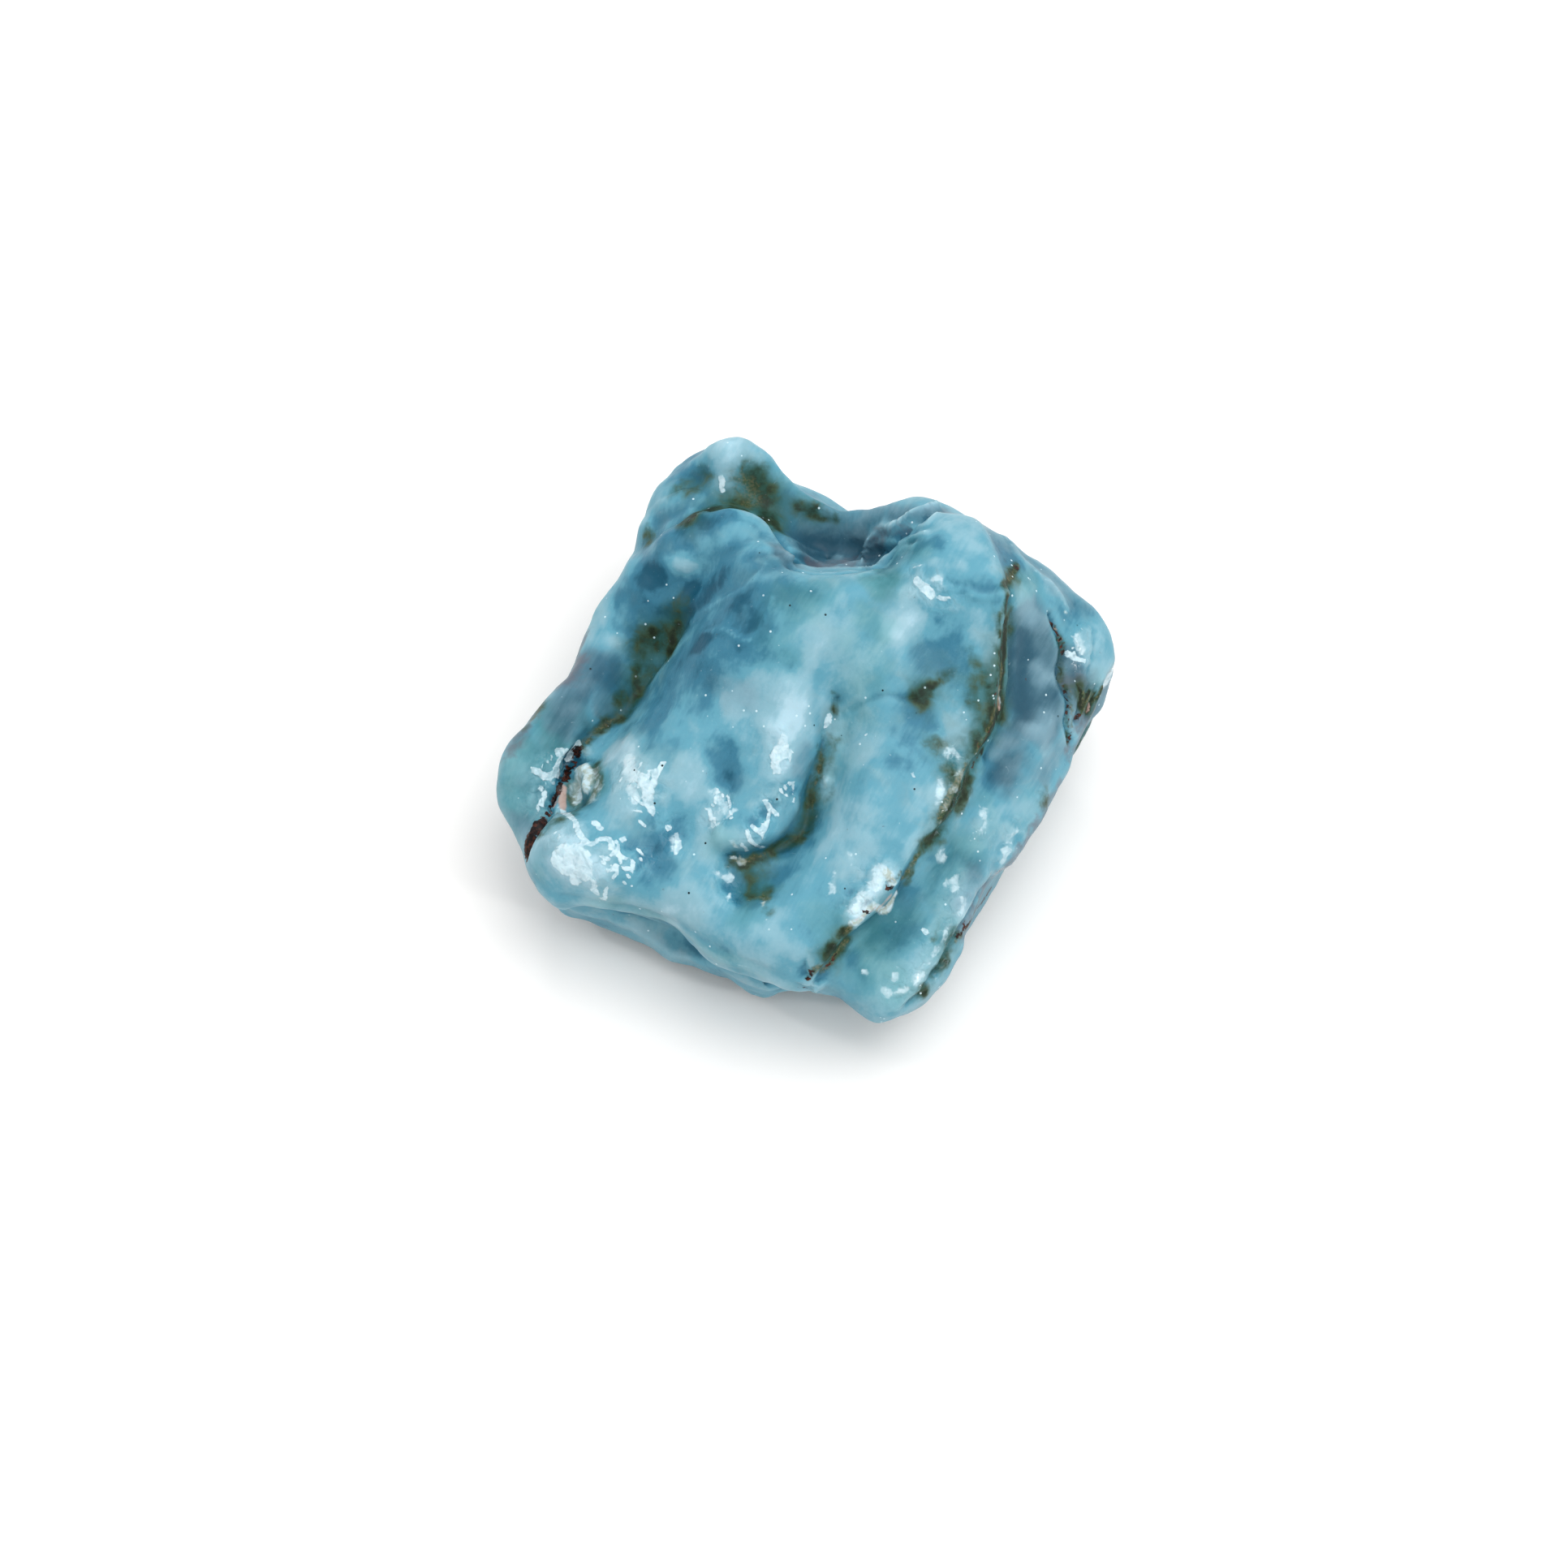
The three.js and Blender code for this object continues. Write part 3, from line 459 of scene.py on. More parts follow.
        stain(1.8, -0.30, (6.6, -12.4), (7.0, -10.8)),
        stain(2.0, 0.35, (5.6, -14.4), (4.4, -15.2)),
        # the back, the sides and the underside
        stain(2.6, 0.6, (-4.4, 16.0, 10.0), (-2.8, 15.4, 9.0)),
        stain(2.4, 0.6, (-7.6, 13.4, 5.0)),
        stain(2.6, 0.55, (7.2, 11.6, 10.6), (5.0, 11.9, 10.6)),
        stain(2.4, -0.5, (2.4, 12.8, 6.0), (3.8, 11.6, 4.0)),
        stain(2.4, 0.55, (-11.4, 7.0, 7.4), (-12.4, 5.2, 7.6)),
        stain(2.2, -0.5, (-15.6, -3.0, 6.0)),
        stain(2.4, 0.5, (16.4, 4.4, 8.0)),
        stain(2.2, -0.5, (12.6, -3.8, 5.0)),
        stain(3.0, -0.4, (-8.0, 2.0, 0.0), (-2.0, 6.0, 0.0)),
    ),
    Mineral.TEAL: (
        # the head, the boss and the hollow
        stain(1.6, 0.40, (-2.4, 11.8), (-1.6, 12.6)),
        # the lobe and the knob
        stain(2.0, 0.55, (4.8, 6.6), (5.4, 7.0), (6.0, 6.2)),
        stain(1.8, 0.45, (11.6, 4.6), (12.2, 5.4)),
        stain(1.6, 0.40, (13.6, 2.8), (13.0, 3.0)),
        stain(1.4, 0.45, (15.6, 1.8), (16.0, 1.0)),
        # the left flank and its seam
        stain(2.4, 0.80, (-12.8, 0.2), (-13.8, -0.4), (-13.6, -1.4)),
        # the left slab, its crack and its grain
        stain(2.8, 0.75, (-14.8, -2.6), (-15.4, -4.2), (-14.8, -5.8)),
        stain(1.4, 0.65, (-11.4, -3.6), (-11.2, -4.8)),
        stain(1.4, 0.50, (-13.4, -8.4), (-14.4, -9.4)),
        stain(1.5, 0.40, (-11.4, -10.6, 8.0), (-7.1, -11.7, 7.3), (-3.7, -14.4, 8.0), (-1.0, -15.2, 7.4)),
        # the ridge, the groove and the band
        stain(1.3, 0.50, (4.2, 6.0), (5.6, 5.8)),
        stain(1.6, 0.70, (3.8, 5.4), (4.2, 4.6), (3.6, 4.2)),
        stain(2.6, 0.45, (0.6, 3.6), (-1.4, 2.4), (-1.8, 0.8)),
        stain(1.6, 0.55, (3.0, 2.2), (3.8, 1.8)),
        stain(2.2, 0.40, (2.4, 1.0), (2.6, -1.6), (2.0, -3.4)),
        stain(1.6, 0.40, (3.6, 0.4), (3.4, -0.6)),
        stain(2.2, 0.45, (1.8, -4.0), (1.6, -5.8)),
        stain(1.8, 0.45, (-4.6, -8.4), (-3.4, -8.8)),
        stain(2.2, 0.60, (-2.8, -10.6), (-3.2, -12.2)),
        stain(3.0, 0.60, (4.8, -12.0), (3.4, -13.6), (4.6, -15.4)),
        stain(2.2, 0.50, (0.4, -12.4), (1.2, -13.2)),
        # the right-hand layer
        stain(1.8, 0.40, (12.2, -5.0), (11.6, -6.0)),
        stain(1.4, 0.35, (9.4, -5.4), (9.8, -6.4)),
        stain(2.6, 0.45, (8.4, -8.2), (7.0, -10.4)),
        stain(2.6, 0.45, (7.2, -12.0), (6.4, -14.0)),
        # the back, the sides and the underside
        stain(3.0, 0.6, (-6.0, 15.0, 6.0), (-8.4, 13.0, 7.0)),
        stain(3.0, 0.6, (-13.0, 4.0, 7.0), (-11.4, 7.0, 8.0)),
        stain(3.0, 0.55, (13.4, 8.6, 10.0), (12.0, 9.4, 7.0)),
    ),
    Mineral.SLATE: (
        # the head, the boss and the hollow
        stain(2.0, 0.50, (1.6, 11.4), (3.6, 10.4)),
        stain(2.6, 0.80, (-0.4, 9.2), (1.4, 9.6), (3.0, 9.2)),
        stain(1.5, 0.75, (-1.2, 6.9), (0.4, 6.6), (2.4, 6.8), (3.8, 7.4)),
        # the lobe and the knob
        stain(1.2, 0.55, (4.6, 9.8), (6.2, 9.2), (7.4, 9.6)),
        stain(2.4, 0.45, (10.0, 8.0), (12.4, 7.4), (14.6, 6.0)),
        stain(1.6, 0.75, (14.2, 2.4), (14.6, 1.4), (14.8, 0.4)),
        stain(1.8, 0.90, (13.6, 2.2), (14.4, 1.6), (14.8, 0.4)),
        stain(1.6, 0.45, (13.6, -1.8), (12.6, -3.6)),
        # the left flank and its seam
        stain(2.2, 0.60, (-11.8, 2.8), (-12.8, 1.0), (-13.2, -0.4)),
        stain(2.0, 0.50, (-11.0, 2.6), (-10.8, 1.4)),
        # the left slab, its crack and its grain
        stain(2.4, 0.25, (-14.4, -2.0), (-15.0, -4.0), (-14.4, -5.6)),
        stain(1.6, 0.55, (-15.4, -6.0), (-15.0, -7.0)),
        stain(1.8, 0.40, (-12.4, -10.0), (-13.6, -8.8)),
        stain(2.0, 0.15, (-9.4, -10.6, 3.8), (-7.8, -11.1, 3.6), (-6.2, -11.9, 3.4)),
        # the ridge, the groove and the band
        stain(1.8, 0.40, (-4.6, -0.6), (-3.4, -1.0)),
        stain(1.2, 0.45, (-0.2, -3.8), (-0.6, -4.8)),
        # the right-hand layer
        stain(2.8, 1.10, (11.6, 2.8), (12.0, 0.8), (12.4, -0.8)),
        stain(2.2, 0.60, (11.2, -2.2), (10.8, -3.8)),
        stain(1.8, 0.50, (8.6, -10.4), (8.8, -9.4)),
        # the back, the sides and the underside
        stain(2.6, 0.7, (1.0, 13.4, 8.0), (5.0, 11.9, 7.6), (9.0, 11.0, 8.0)),
        stain(2.4, 0.6, (-15.4, -4.8, 4.0), (-15.2, -1.4, 4.0)),
        stain(2.6, 0.7, (14.0, 0.4, 7.0), (16.2, 3.6, 7.0)),
    ),
    Mineral.MOSS: (
        # the head, the boss and the hollow
        stain(0.95, 0.55, (-5.8, 13.2), (-5.6, 13.0)),
        stain(1.30, 0.95, (-2.8, 12.7), (-2.5, 11.8), (-2.1, 10.7)),
        stain(1.25, 0.50, (-7.2, 12.4), (-6.6, 12.4)),
        stain(0.95, 0.90, (-0.4, 11.5), (0.6, 11.4)),
        stain(1.55, 0.75, (-4.0, 11.4), (-3.4, 11.3), (-2.6, 10.8)),
        stain(0.75, 0.65, (0.8, 11.3), (1.6, 11.0)),
        stain(1.05, 0.85, (-5.2, 10.6), (-4.4, 10.6), (-3.6, 10.5)),
        stain(0.85, 0.60, (-8.8, 10.4), (-8.6, 9.8)),
        stain(1.15, 0.95, (-2.2, 10.2), (-1.8, 9.9)),
        stain(1.15, 0.95, (-6.6, 9.5), (-6.0, 9.8), (-5.2, 10.3)),
        # the lobe and the knob
        fine(0.45, 0.9, (11.2, 6.2), (11.1, 5.6), (10.7, 4.7), (10.4, 4.0)),
        stain(0.70, 0.80, (11.2, 5.8), (10.9, 5.0), (10.6, 4.4)),
        stain(0.35, 0.90, (13.4, 3.6), (13.7, 2.8), (13.6, 2.2)),
        stain(0.75, 0.70, (10.7, 3.4), (10.8, 2.6)),
        fine(
            0.42, 1.25, (10.6, 3.4), (10.5, 2.4), (10.45, 1.4), (10.35, 0.4), (10.2, -0.8), (9.9, -2.2),
            (9.3, -3.4),
        ),
        fine(0.35, 0.60, (13.7, 2.5), (13.7, 1.9), (13.6, 1.5)),
        fine(0.24, 1.30, (16.35, 2.4), (16.1, 1.9), (15.7, 1.2)),
        stain(0.5, 0.55, (16.1, 1.8), (15.9, 1.4)),
        stain(0.75, 0.55, (14.6, 1.6), (14.4, 1.0)),
        fine(0.24, 1.30, (14.6, 1.45), (14.8, 1.05), (14.7, 0.6)),
        fine(0.24, 1.30, (15.25, 1.4), (15.0, 0.8), (14.8, 0.3)),
        fine(0.24, 1.25, (15.6, 1.4), (15.35, 0.9), (15.15, 0.4)),
        stain(0.30, 0.80, (13.9, 1.2), (14.1, 0.6), (14.0, -0.2), (14.0, -1.2)),
        stain(0.5, 0.60, (15.6, 1.2), (15.3, 0.4)),
        # the left flank and its seam
        stain(1.25, 0.55, (-7.2, 5.6), (-7.0, 4.8)),
        stain(1.35, 0.85, (-7.1, 4.6), (-7.4, 3.8)),
        stain(1.25, 0.75, (-8.0, 4.4), (-9.2, 4.4)),
        stain(0.95, 0.85, (-9.2, 3.8), (-9.3, 3.2)),
        stain(1.25, 0.55, (-8.6, 2.6), (-8.4, 3.2)),
        stain(1.05, 1.00, (-9.3, 2.4), (-9.5, 1.7)),
        stain(0.75, 0.70, (-10.4, 1.6), (-10.2, 1.5)),
        stain(0.95, 0.80, (-9.6, 0.9), (-10.2, 0.6), (-10.9, 0.3)),
        fine(0.7, 0.5, (-14.2, 0.6, 9.3), (-15.2, -0.8, 9.2)),
        stain(0.70, 0.70, (-11.2, 0.0), (-11.7, -0.5), (-12.3, -1.3)),
        # the left slab, its crack and its grain
        stain(1.3, 0.30, (-12.4, -2.6), (-12.6, -3.6), (-12.5, -4.8), (-12.4, -5.4)),
        stain(0.7, 0.75, (-11.5, -2.8), (-11.3, -3.6), (-11.4, -4.8), (-12.0, -5.5)),
        stain(0.75, 0.60, (-12.9, -3.4), (-13.0, -4.6)),
        stain(0.85, 0.65, (-12.4, -5.9), (-12.3, -6.3)),
        stain(0.85, 0.70, (-13.4, -6.6), (-14.2, -7.2)),
        # the ridge, the groove and the band
        stain(0.4, 0.90, (10.3, 2.6), (10.3, 1.6), (10.3, 0.6), (10.1, -0.2)),
        stain(0.90, 0.85, (10.1, 1.0), (10.1, -0.4), (9.9, -1.6), (9.4, -2.6), (8.8, -3.8)),
        stain(0.75, 0.60, (8.4, 0.8), (8.6, 0.2)),
        stain(0.75, 0.55, (9.4, 0.2), (9.6, -0.6)),
        stain(0.75, 0.80, (6.8, -0.5), (7.2, -0.2)),
        stain(1.00, 1.15, (6.5, -0.8), (6.0, -1.3)),
        stain(0.8, 0.55, (8.9, -0.8), (9.1, -2.0), (9.4, -2.6)),
        stain(0.85, 0.85, (10.3, -0.8), (10.2, -1.6)),
        stain(0.45, 0.70, (1.6, -0.9), (1.4, -1.5)),
        stain(0.85, 0.95, (9.8, -2.2), (9.5, -2.9)),
        stain(0.85, 0.75, (0.9, -2.9), (0.7, -3.6)),
        stain(0.65, 0.45, (1.6, -3.0), (1.3, -3.6), (1.2, -4.2)),
        stain(0.75, 0.85, (9.2, -3.4), (8.7, -4.2)),
        stain(0.5, 0.50, (8.3, -3.4), (8.6, -3.8)),
        stain(0.85, 0.60, (6.4, -3.7), (6.8, -3.9)),
        stain(0.85, 0.78, (0.5, -4.1), (0.2, -5.0), (0.1, -5.8)),
        stain(0.85, 0.85, (8.5, -4.6), (8.1, -5.6), (7.6, -6.6), (7.0, -7.6)),
        stain(0.75, 0.80, (8.5, -4.7), (8.3, -5.6), (7.9, -6.4)),
        fine(0.40, 0.80, (8.5, -4.8), (8.1, -5.8), (7.6, -6.8), (6.9, -7.8), (6.1, -8.7)),
        stain(0.75, 0.60, (7.3, -4.9), (7.5, -5.6)),
        stain(0.55, 0.45, (1.4, -5.2), (1.1, -5.9)),
        stain(0.95, 0.70, (0.2, -6.4), (-0.1, -7.2)),
        stain(0.75, 0.70, (7.7, -6.8), (7.3, -7.4)),
        stain(0.90, 0.78, (-0.6, -7.6), (-1.4, -8.1), (-2.2, -8.6)),
        stain(1.10, 0.84, (6.9, -7.9), (6.3, -8.5)),
        stain(0.75, 0.95, (-2.4, -8.7), (-3.2, -9.0), (-4.0, -9.0)),
        stain(0.4, 0.60, (5.9, -8.9), (5.4, -9.6), (5.0, -10.4)),
        fine(0.30, 0.60, (5.6, -9.3), (5.1, -10.1), (4.6, -10.9)),
        stain(1.0, 0.35, (-2.4, -9.4), (-2.0, -9.8)),
        stain(0.85, 0.66, (-3.1, -9.6), (-3.1, -10.4), (-3.3, -11.0)),
        stain(0.85, 0.60, (-2.2, -10.6), (-2.5, -11.2)),
        stain(0.5, 0.45, (-2.2, -12.1), (-2.0, -12.4)),
        stain(0.80, 0.95, (2.0, -13.4), (1.5, -14.0), (1.0, -14.5)),
        stain(0.5, 0.85, (0.8, -14.8), (0.2, -15.2)),
        # the right-hand layer
        stain(0.95, 0.45, (12.6, -4.6), (12.8, -4.9)),
        stain(0.75, 0.80, (7.9, -12.6, 7.6), (7.6, -13.0, 7.5)),
        stain(0.5, 0.45, (6.5, -12.6), (6.6, -12.4)),
        stain(0.75, 0.75, (7.3, -13.6, 7.2), (6.8, -14.2, 7.0)),
        stain(0.75, 0.65, (6.2, -15.2, 6.7), (5.5, -15.8, 6.3)),
        # the back, the sides and the underside
        fine(0.40, 0.85, (11.4, 8.0, 12.6), (11.0, 9.9, 10.6), (10.6, 10.5, 8.2), (10.2, 9.6, 5.2)),
        stain(0.9, 0.80, (11.2, 9.4, 11.0), (10.7, 10.4, 8.8)),
        stain(0.8, 0.75, (10.2, 9.6, 5.2), (9.8, 9.0, 3.6)),
        fine(0.35, 0.80, (-16.2, -1.0, 6.3), (-14.2, 2.4, 5.9), (-12.2, 5.0, 6.3), (-10.9, 7.8, 6.7)),
        stain(0.9, 0.75, (-14.8, 0.6, 6.2), (-14.0, 2.6, 6.0)),
        stain(0.8, 0.80, (-12.6, 4.4, 6.2), (-11.8, 6.0, 6.4)),
        fine(0.35, 0.80, (12.2, -4.4, 5.3), (14.2, -1.4, 5.5), (16.0, 2.0, 5.1), (16.3, 4.8, 5.9)),
        stain(0.9, 0.75, (14.6, -0.6, 5.3), (15.6, 1.2, 5.0)),
        stain(1.2, 0.70, (-6.8, 14.6, 9.0), (-5.6, 15.8, 8.0)),
        stain(0.9, 0.75, (-3.0, 15.2, 6.4), (-1.6, 14.8, 5.6)),
        fine(0.50, 0.80, (-9.0, -4.0, 0.0), (-4.0, -1.0, 0.0), (1.0, 1.0, 0.0), (6.0, 4.0, 0.0)),
        stain(1.2, 0.75, (-3.0, -1.0, 0.0), (0.0, 0.5, 0.0)),
    ),
    Mineral.OCHRE: (
        # the head, the boss and the hollow
        stain(1.1, 0.55, (-3.8, 12.4), (-3.0, 12.0), (-3.2, 11.2)),
        # the lobe and the knob
        fine(0.24, 0.8, (10.4, 9.9, 6.4), (10.0, 9.4, 4.6)),
        fine(0.30, 0.7, (11.3, 6.2), (11.1, 5.5), (10.7, 4.7)),
        fine(0.22, 0.9, (13.3, 3.9), (13.7, 3.3), (13.9, 2.7)),
        fine(0.20, 0.9, (16.2, 2.2), (15.8, 1.5), (15.5, 1.0)),
        fine(0.22, 0.9, (15.5, 1.5), (15.2, 0.9), (15.0, 0.3)),
        fine(0.20, 0.9, (14.95, 1.2), (14.95, 0.7), (14.8, 0.2)),
        fine(0.22, 0.8, (14.2, 1.0), (14.3, 0.2), (14.3, -0.6)),
        # the left flank and its seam
        fine(0.26, 0.7, (-12.1, -1.2), (-11.4, -0.2), (-10.6, 0.5)),
        # the left slab, its crack and its grain
        fine(0.26, 0.8, (-13.4, -5.6), (-13.8, -6.2), (-14.4, -7.0)),
        # the ridge, the groove and the band
        fine(0.26, 0.8, (10.3, 0.6), (10.2, -0.6), (10.0, -1.6), (9.5, -2.8), (8.9, -3.9)),
        fine(0.22, 0.6, (0.7, -3.0), (0.6, -4.0), (0.3, -5.0), (0.2, -6.2)),
        fine(0.34, 1.0, (8.4, -4.6), (8.0, -5.4), (7.5, -6.2), (7.1, -7.0), (6.9, -7.6)),
        fine(0.26, 0.8, (-4.0, -8.9), (-3.2, -8.9), (-2.4, -8.6)),
        fine(0.30, 0.8, (5.8, -9.2), (5.2, -10.0), (4.8, -10.5)),
        stain(0.7, 0.50, (-2.6, -11.2), (-2.4, -11.8)),
        fine(0.38, 0.9, (2.2, -13.2), (1.6, -13.9), (1.0, -14.6), (0.3, -15.1)),
        # the right-hand layer
        fine(0.26, 0.8, (9.2, -9.8, 6.8), (8.6, -11.2, 7.0), (7.8, -12.6, 7.2)),
    ),
    Mineral.RUST: (
        # the lobe and the knob
        fine(0.28, 0.9, (11.2, 6.0), (11.25, 5.8)),
        fine(0.30, 1.0, (13.05, 3.95), (13.2, 3.85)),
        fine(0.20, 0.9, (13.3, 3.85), (13.55, 3.5), (13.7, 3.1), (13.8, 2.75)),
        fine(0.22, 0.75, (13.8, 1.15), (14.0, 0.75), (14.1, 0.3), (14.0, -0.1)),
        fine(0.30, 0.75, (14.75, 0.2), (14.55, -0.1)),
        fine(0.22, 0.75, (14.1, -0.4), (14.2, -0.8), (14.1, -1.3)),
        # the left slab, its crack and its grain
        fine(0.50, 1.0, (-12.55, -1.5), (-12.85, -2.0), (-13.0, -2.5), (-13.2, -3.1)),
        fine(0.30, 1.0, (-13.4, -3.5), (-13.6, -4.0), (-13.8, -4.5)),
        fine(0.30, 1.0, (-13.9, -4.8), (-14.0, -5.3), (-14.1, -5.7)),
        fine(0.72, 1.0, (-14.3, -6.0), (-14.6, -6.4), (-14.9, -6.9), (-15.1, -7.5)),
        fine(0.34, 0.9, (-15.1, -7.9), (-15.1, -8.3)),
        # the ridge, the groove and the band
        fine(0.20, 0.6, (10.3, 2.0), (10.3, 1.2), (10.2, 0.4), (10.1, -0.4), (10.0, -1.4)),
        fine(0.20, 0.5, (9.7, -2.6), (9.2, -3.4), (8.6, -4.6)),
        fine(0.25, 1.0, (4.4, -11.15), (4.25, -11.25)),
        fine(0.24, 1.0, (3.15, -12.45), (2.95, -12.55)),
        fine(0.20, 0.7, (1.5, -14.1), (1.1, -14.5), (0.6, -14.9)),
        fine(0.30, 0.9, (0.2, -15.1), (0.0, -15.3)),
        fine(0.22, 0.55, (-0.4, -15.5, 7.4), (0.4, -15.5, 7.0)),
        # the right-hand layer
        fine(0.26, 0.7, (10.05, -7.7, 4.0), (9.6, -8.6, 4.2), (9.0, -10.3, 5.8)),
        fine(0.26, 0.75, (9.2, -9.8, 6.6), (8.8, -10.8, 6.8), (8.3, -11.8, 7.2), (7.9, -12.4, 7.4)),
        # the back, the sides and the underside
        fine(0.28, 0.9, (11.0, 9.9, 10.4), (10.7, 10.4, 8.9), (10.4, 10.0, 7.0)),
        fine(0.28, 0.85, (15.0, 7.6, 9.0), (14.7, 7.8, 7.2)),
        fine(0.30, 0.9, (1.5, 1.2, 0.0), (3.5, 2.4, 0.0)),
    ),
    Mineral.BLUSH: (
        # the lobe and the knob
        fine(0.13, 1.0, (13.35, 3.8), (13.6, 3.4), (13.75, 2.9)),
        fine(0.16, 0.8, (15.3, 0.9), (15.2, 0.4)),
        # the left slab, its crack and its grain
        fine(0.36, 1.0, (-13.3, -3.6), (-13.3, -4.4), (-13.2, -5.0)),
        fine(0.20, 0.8, (-13.6, -4.4), (-13.8, -5.0)),
        # the ridge, the groove and the band
        fine(0.20, 0.7, (10.15, -0.6), (10.2, -1.2)),
        fine(0.26, 0.6, (4.4, -11.3), (3.8, -11.9), (3.0, -12.6), (2.4, -13.0)),
    ),
    Mineral.CREAM: (
        # the lobe and the knob
        fine(
            0.15, 0.50, (10.6, 8.6), (11.0, 8.0), (11.4, 7.0), (12.1, 6.6), (12.8, 6.2), (13.4, 5.9),
            (14.0, 5.0),
        ),
        fine(0.18, 0.70, (13.9, 4.8), (14.0, 4.7)),
        # the left slab, its crack and its grain
        fine(0.50, 1.0, (-12.4, -2.5), (-12.0, -2.8), (-11.85, -3.5), (-12.0, -4.3)),
        fine(0.95, 0.66, (-12.4, -3.0), (-12.4, -4.2)),
        stain(1.1, 0.48, (-11.5, -3.4), (-11.4, -5.2)),
        fine(0.25, 0.8, (-12.7, -4.6), (-12.5, -4.8)),
        stain(0.7, 0.50, (-14.1, -6.0), (-14.4, -6.6)),
        fine(
            0.16, 0.40, (-13.4, -10.5, 7.7), (-11.8, -10.9, 7.7), (-10.1, -10.9, 7.3), (-8.0, -11.4, 7.3),
            (-6.4, -12.6, 7.7), (-5.0, -13.8, 7.8), (-3.7, -14.5, 8.1), (-1.8, -15.2, 7.7),
        ),
        # the ridge, the groove and the band
        fine(0.22, 0.60, (10.2, -0.4), (10.25, -1.0)),
        stain(0.5, 0.55, (0.95, -4.8), (0.9, -5.0)),
        stain(0.55, 0.55, (7.8, -5.2), (7.5, -6.2)),
        stain(0.40, 0.70, (7.4, -6.2), (7.1, -7.0)),
        stain(0.35, 0.50, (7.0, -7.6), (6.9, -8.0)),
        stain(0.5, 0.70, (-3.8, -8.6), (-3.4, -8.8)),
        fine(0.50, 0.9, (4.1, -10.5), (4.4, -10.9)),
        fine(0.42, 0.9, (4.6, -11.0, 9.8), (4.1, -11.7), (3.4, -12.2), (2.8, -12.8), (2.3, -13.1)),
        stain(0.35, 0.80, (-2.6, -11.7), (-2.5, -11.8)),
        # the back, the sides and the underside
        fine(0.30, 0.7, (9.9, 9.6, 5.0), (9.4, 9.2, 3.6)),
    ),
    # painted highlights, laid as a white, wet-looking skin
    Mineral.SKIN: (
        # the lobe and the knob
        stain(0.5, 0.70, (6.6, 4.2), (7.0, 4.0)),
        stain(0.5, 0.70, (14.4, 3.6), (15.0, 3.1)),
        # the left slab, its crack and its grain
        fine(0.8, 0.9, (-9.7, -3.8), (-9.5, -4.4), (-9.3, -4.9)),
        fine(0.5, 0.8, (-9.5, -5.6), (-9.3, -6.2)),
        fine(0.4, 0.7, (-7.2, -8.0), (-7.1, -8.6)),
        # the ridge, the groove and the band
        stain(0.5, 0.80, (7.3, -4.2), (7.8, -4.3)),
        stain(0.6, 0.70, (7.9, -5.2), (8.0, -5.4)),
        stain(0.5, 0.75, (6.8, -5.8), (6.7, -6.6)),
        stain(0.7, 0.50, (-5.0, -6.0), (-4.6, -6.8), (-5.0, -7.4)),
        stain(0.45, 0.60, (-3.9, -6.9), (-4.1, -7.2)),
        stain(0.38, 0.62, (7.1, -8.5), (7.2, -8.9)),
        stain(0.35, 0.42, (2.3, -9.6), (2.4, -10.2)),
        stain(0.5, 0.70, (-5.0, -9.7), (-4.4, -9.9)),
        stain(0.35, 0.50, (1.2, -10.4), (1.2, -11.2)),
        fine(0.8, 0.80, (3.8, -10.5), (3.5, -11.2)),
        fine(0.20, 0.75, (-4.2, -10.9), (-4.4, -11.4)),
        fine(0.8, 0.75, (3.0, -11.9), (2.6, -12.5)),
        # the right-hand layer
        stain(0.5, 0.62, (9.4, -6.1), (9.6, -6.6)),
        stain(0.5, 0.55, (9.6, -6.3), (9.5, -6.8)),
        stain(0.5, 0.60, (11.0, -6.6), (10.9, -7.0)),
        stain(0.5, 0.60, (10.7, -7.6), (10.4, -8.2)),
        stain(0.45, 0.60, (7.6, -9.8), (7.8, -10.2)),
        stain(0.45, 0.65, (8.2, -10.9), (8.2, -11.3)),
        stain(0.45, 0.75, (7.4, -12.2), (7.1, -12.7)),
        stain(0.45, 0.60, (6.8, -13.1), (6.5, -13.5)),
        stain(0.40, 0.75, (6.2, -13.9), (5.9, -14.1)),
        stain(0.35, 0.70, (3.0, -14.4)),
        stain(0.5, 0.80, (5.8, -14.6), (5.6, -15.0)),
        stain(0.40, 0.70, (4.4, -14.6)),
        stain(0.5, 0.70, (4.8, -15.2), (4.5, -15.5)),
        stain(0.4, 0.70, (3.9, -15.3), (4.1, -15.6)),
        # the back, the sides and the underside
        stain(0.7, 0.70, (6.4, 11.8, 9.6), (7.2, 11.6, 9.0)),
        stain(0.5, 0.70, (7.8, 11.4, 8.4), (8.2, 11.2, 8.0)),
        stain(0.7, 0.80, (16.4, 3.8, 8.0), (16.2, 2.8, 7.4)),
        stain(0.6, 0.65, (-4.6, 16.1, 9.6), (-3.8, 15.9, 8.8)),
        stain(0.5, 0.65, (-12.2, 5.6, 7.8), (-12.8, 4.6, 7.2)),
    ),
    # painted highlights and glints, laid as white threads and films
    Mineral.THREAD: (
        # the head, the boss and the hollow
        fine(0.24, 0.8, (-4.75, 12.1), (-4.7, 12.6)),
        # the lobe and the knob
        fine(0.16, 0.8, (5.6, 5.1), (6.1, 5.1)),
        fine(0.36, 1.0, (5.8, 4.3), (6.1, 3.9), (6.5, 3.5)),
        fine(0.16, 0.7, (14.3, 4.2), (14.7, 4.3), (15.0, 4.2)),
        fine(0.14, 0.9, (14.4, 3.6), (14.7, 3.3), (15.0, 3.0)),
        fine(0.22, 0.9, (6.6, 3.4), (7.0, 3.3), (7.4, 3.2)),
        fine(0.12, 0.9, (14.2, 3.3), (14.4, 3.1), (14.6, 2.9)),
        fine(0.22, 1.0, (14.0, 2.75), (14.6, 2.65), (15.1, 2.6)),
        # the left flank and its seam
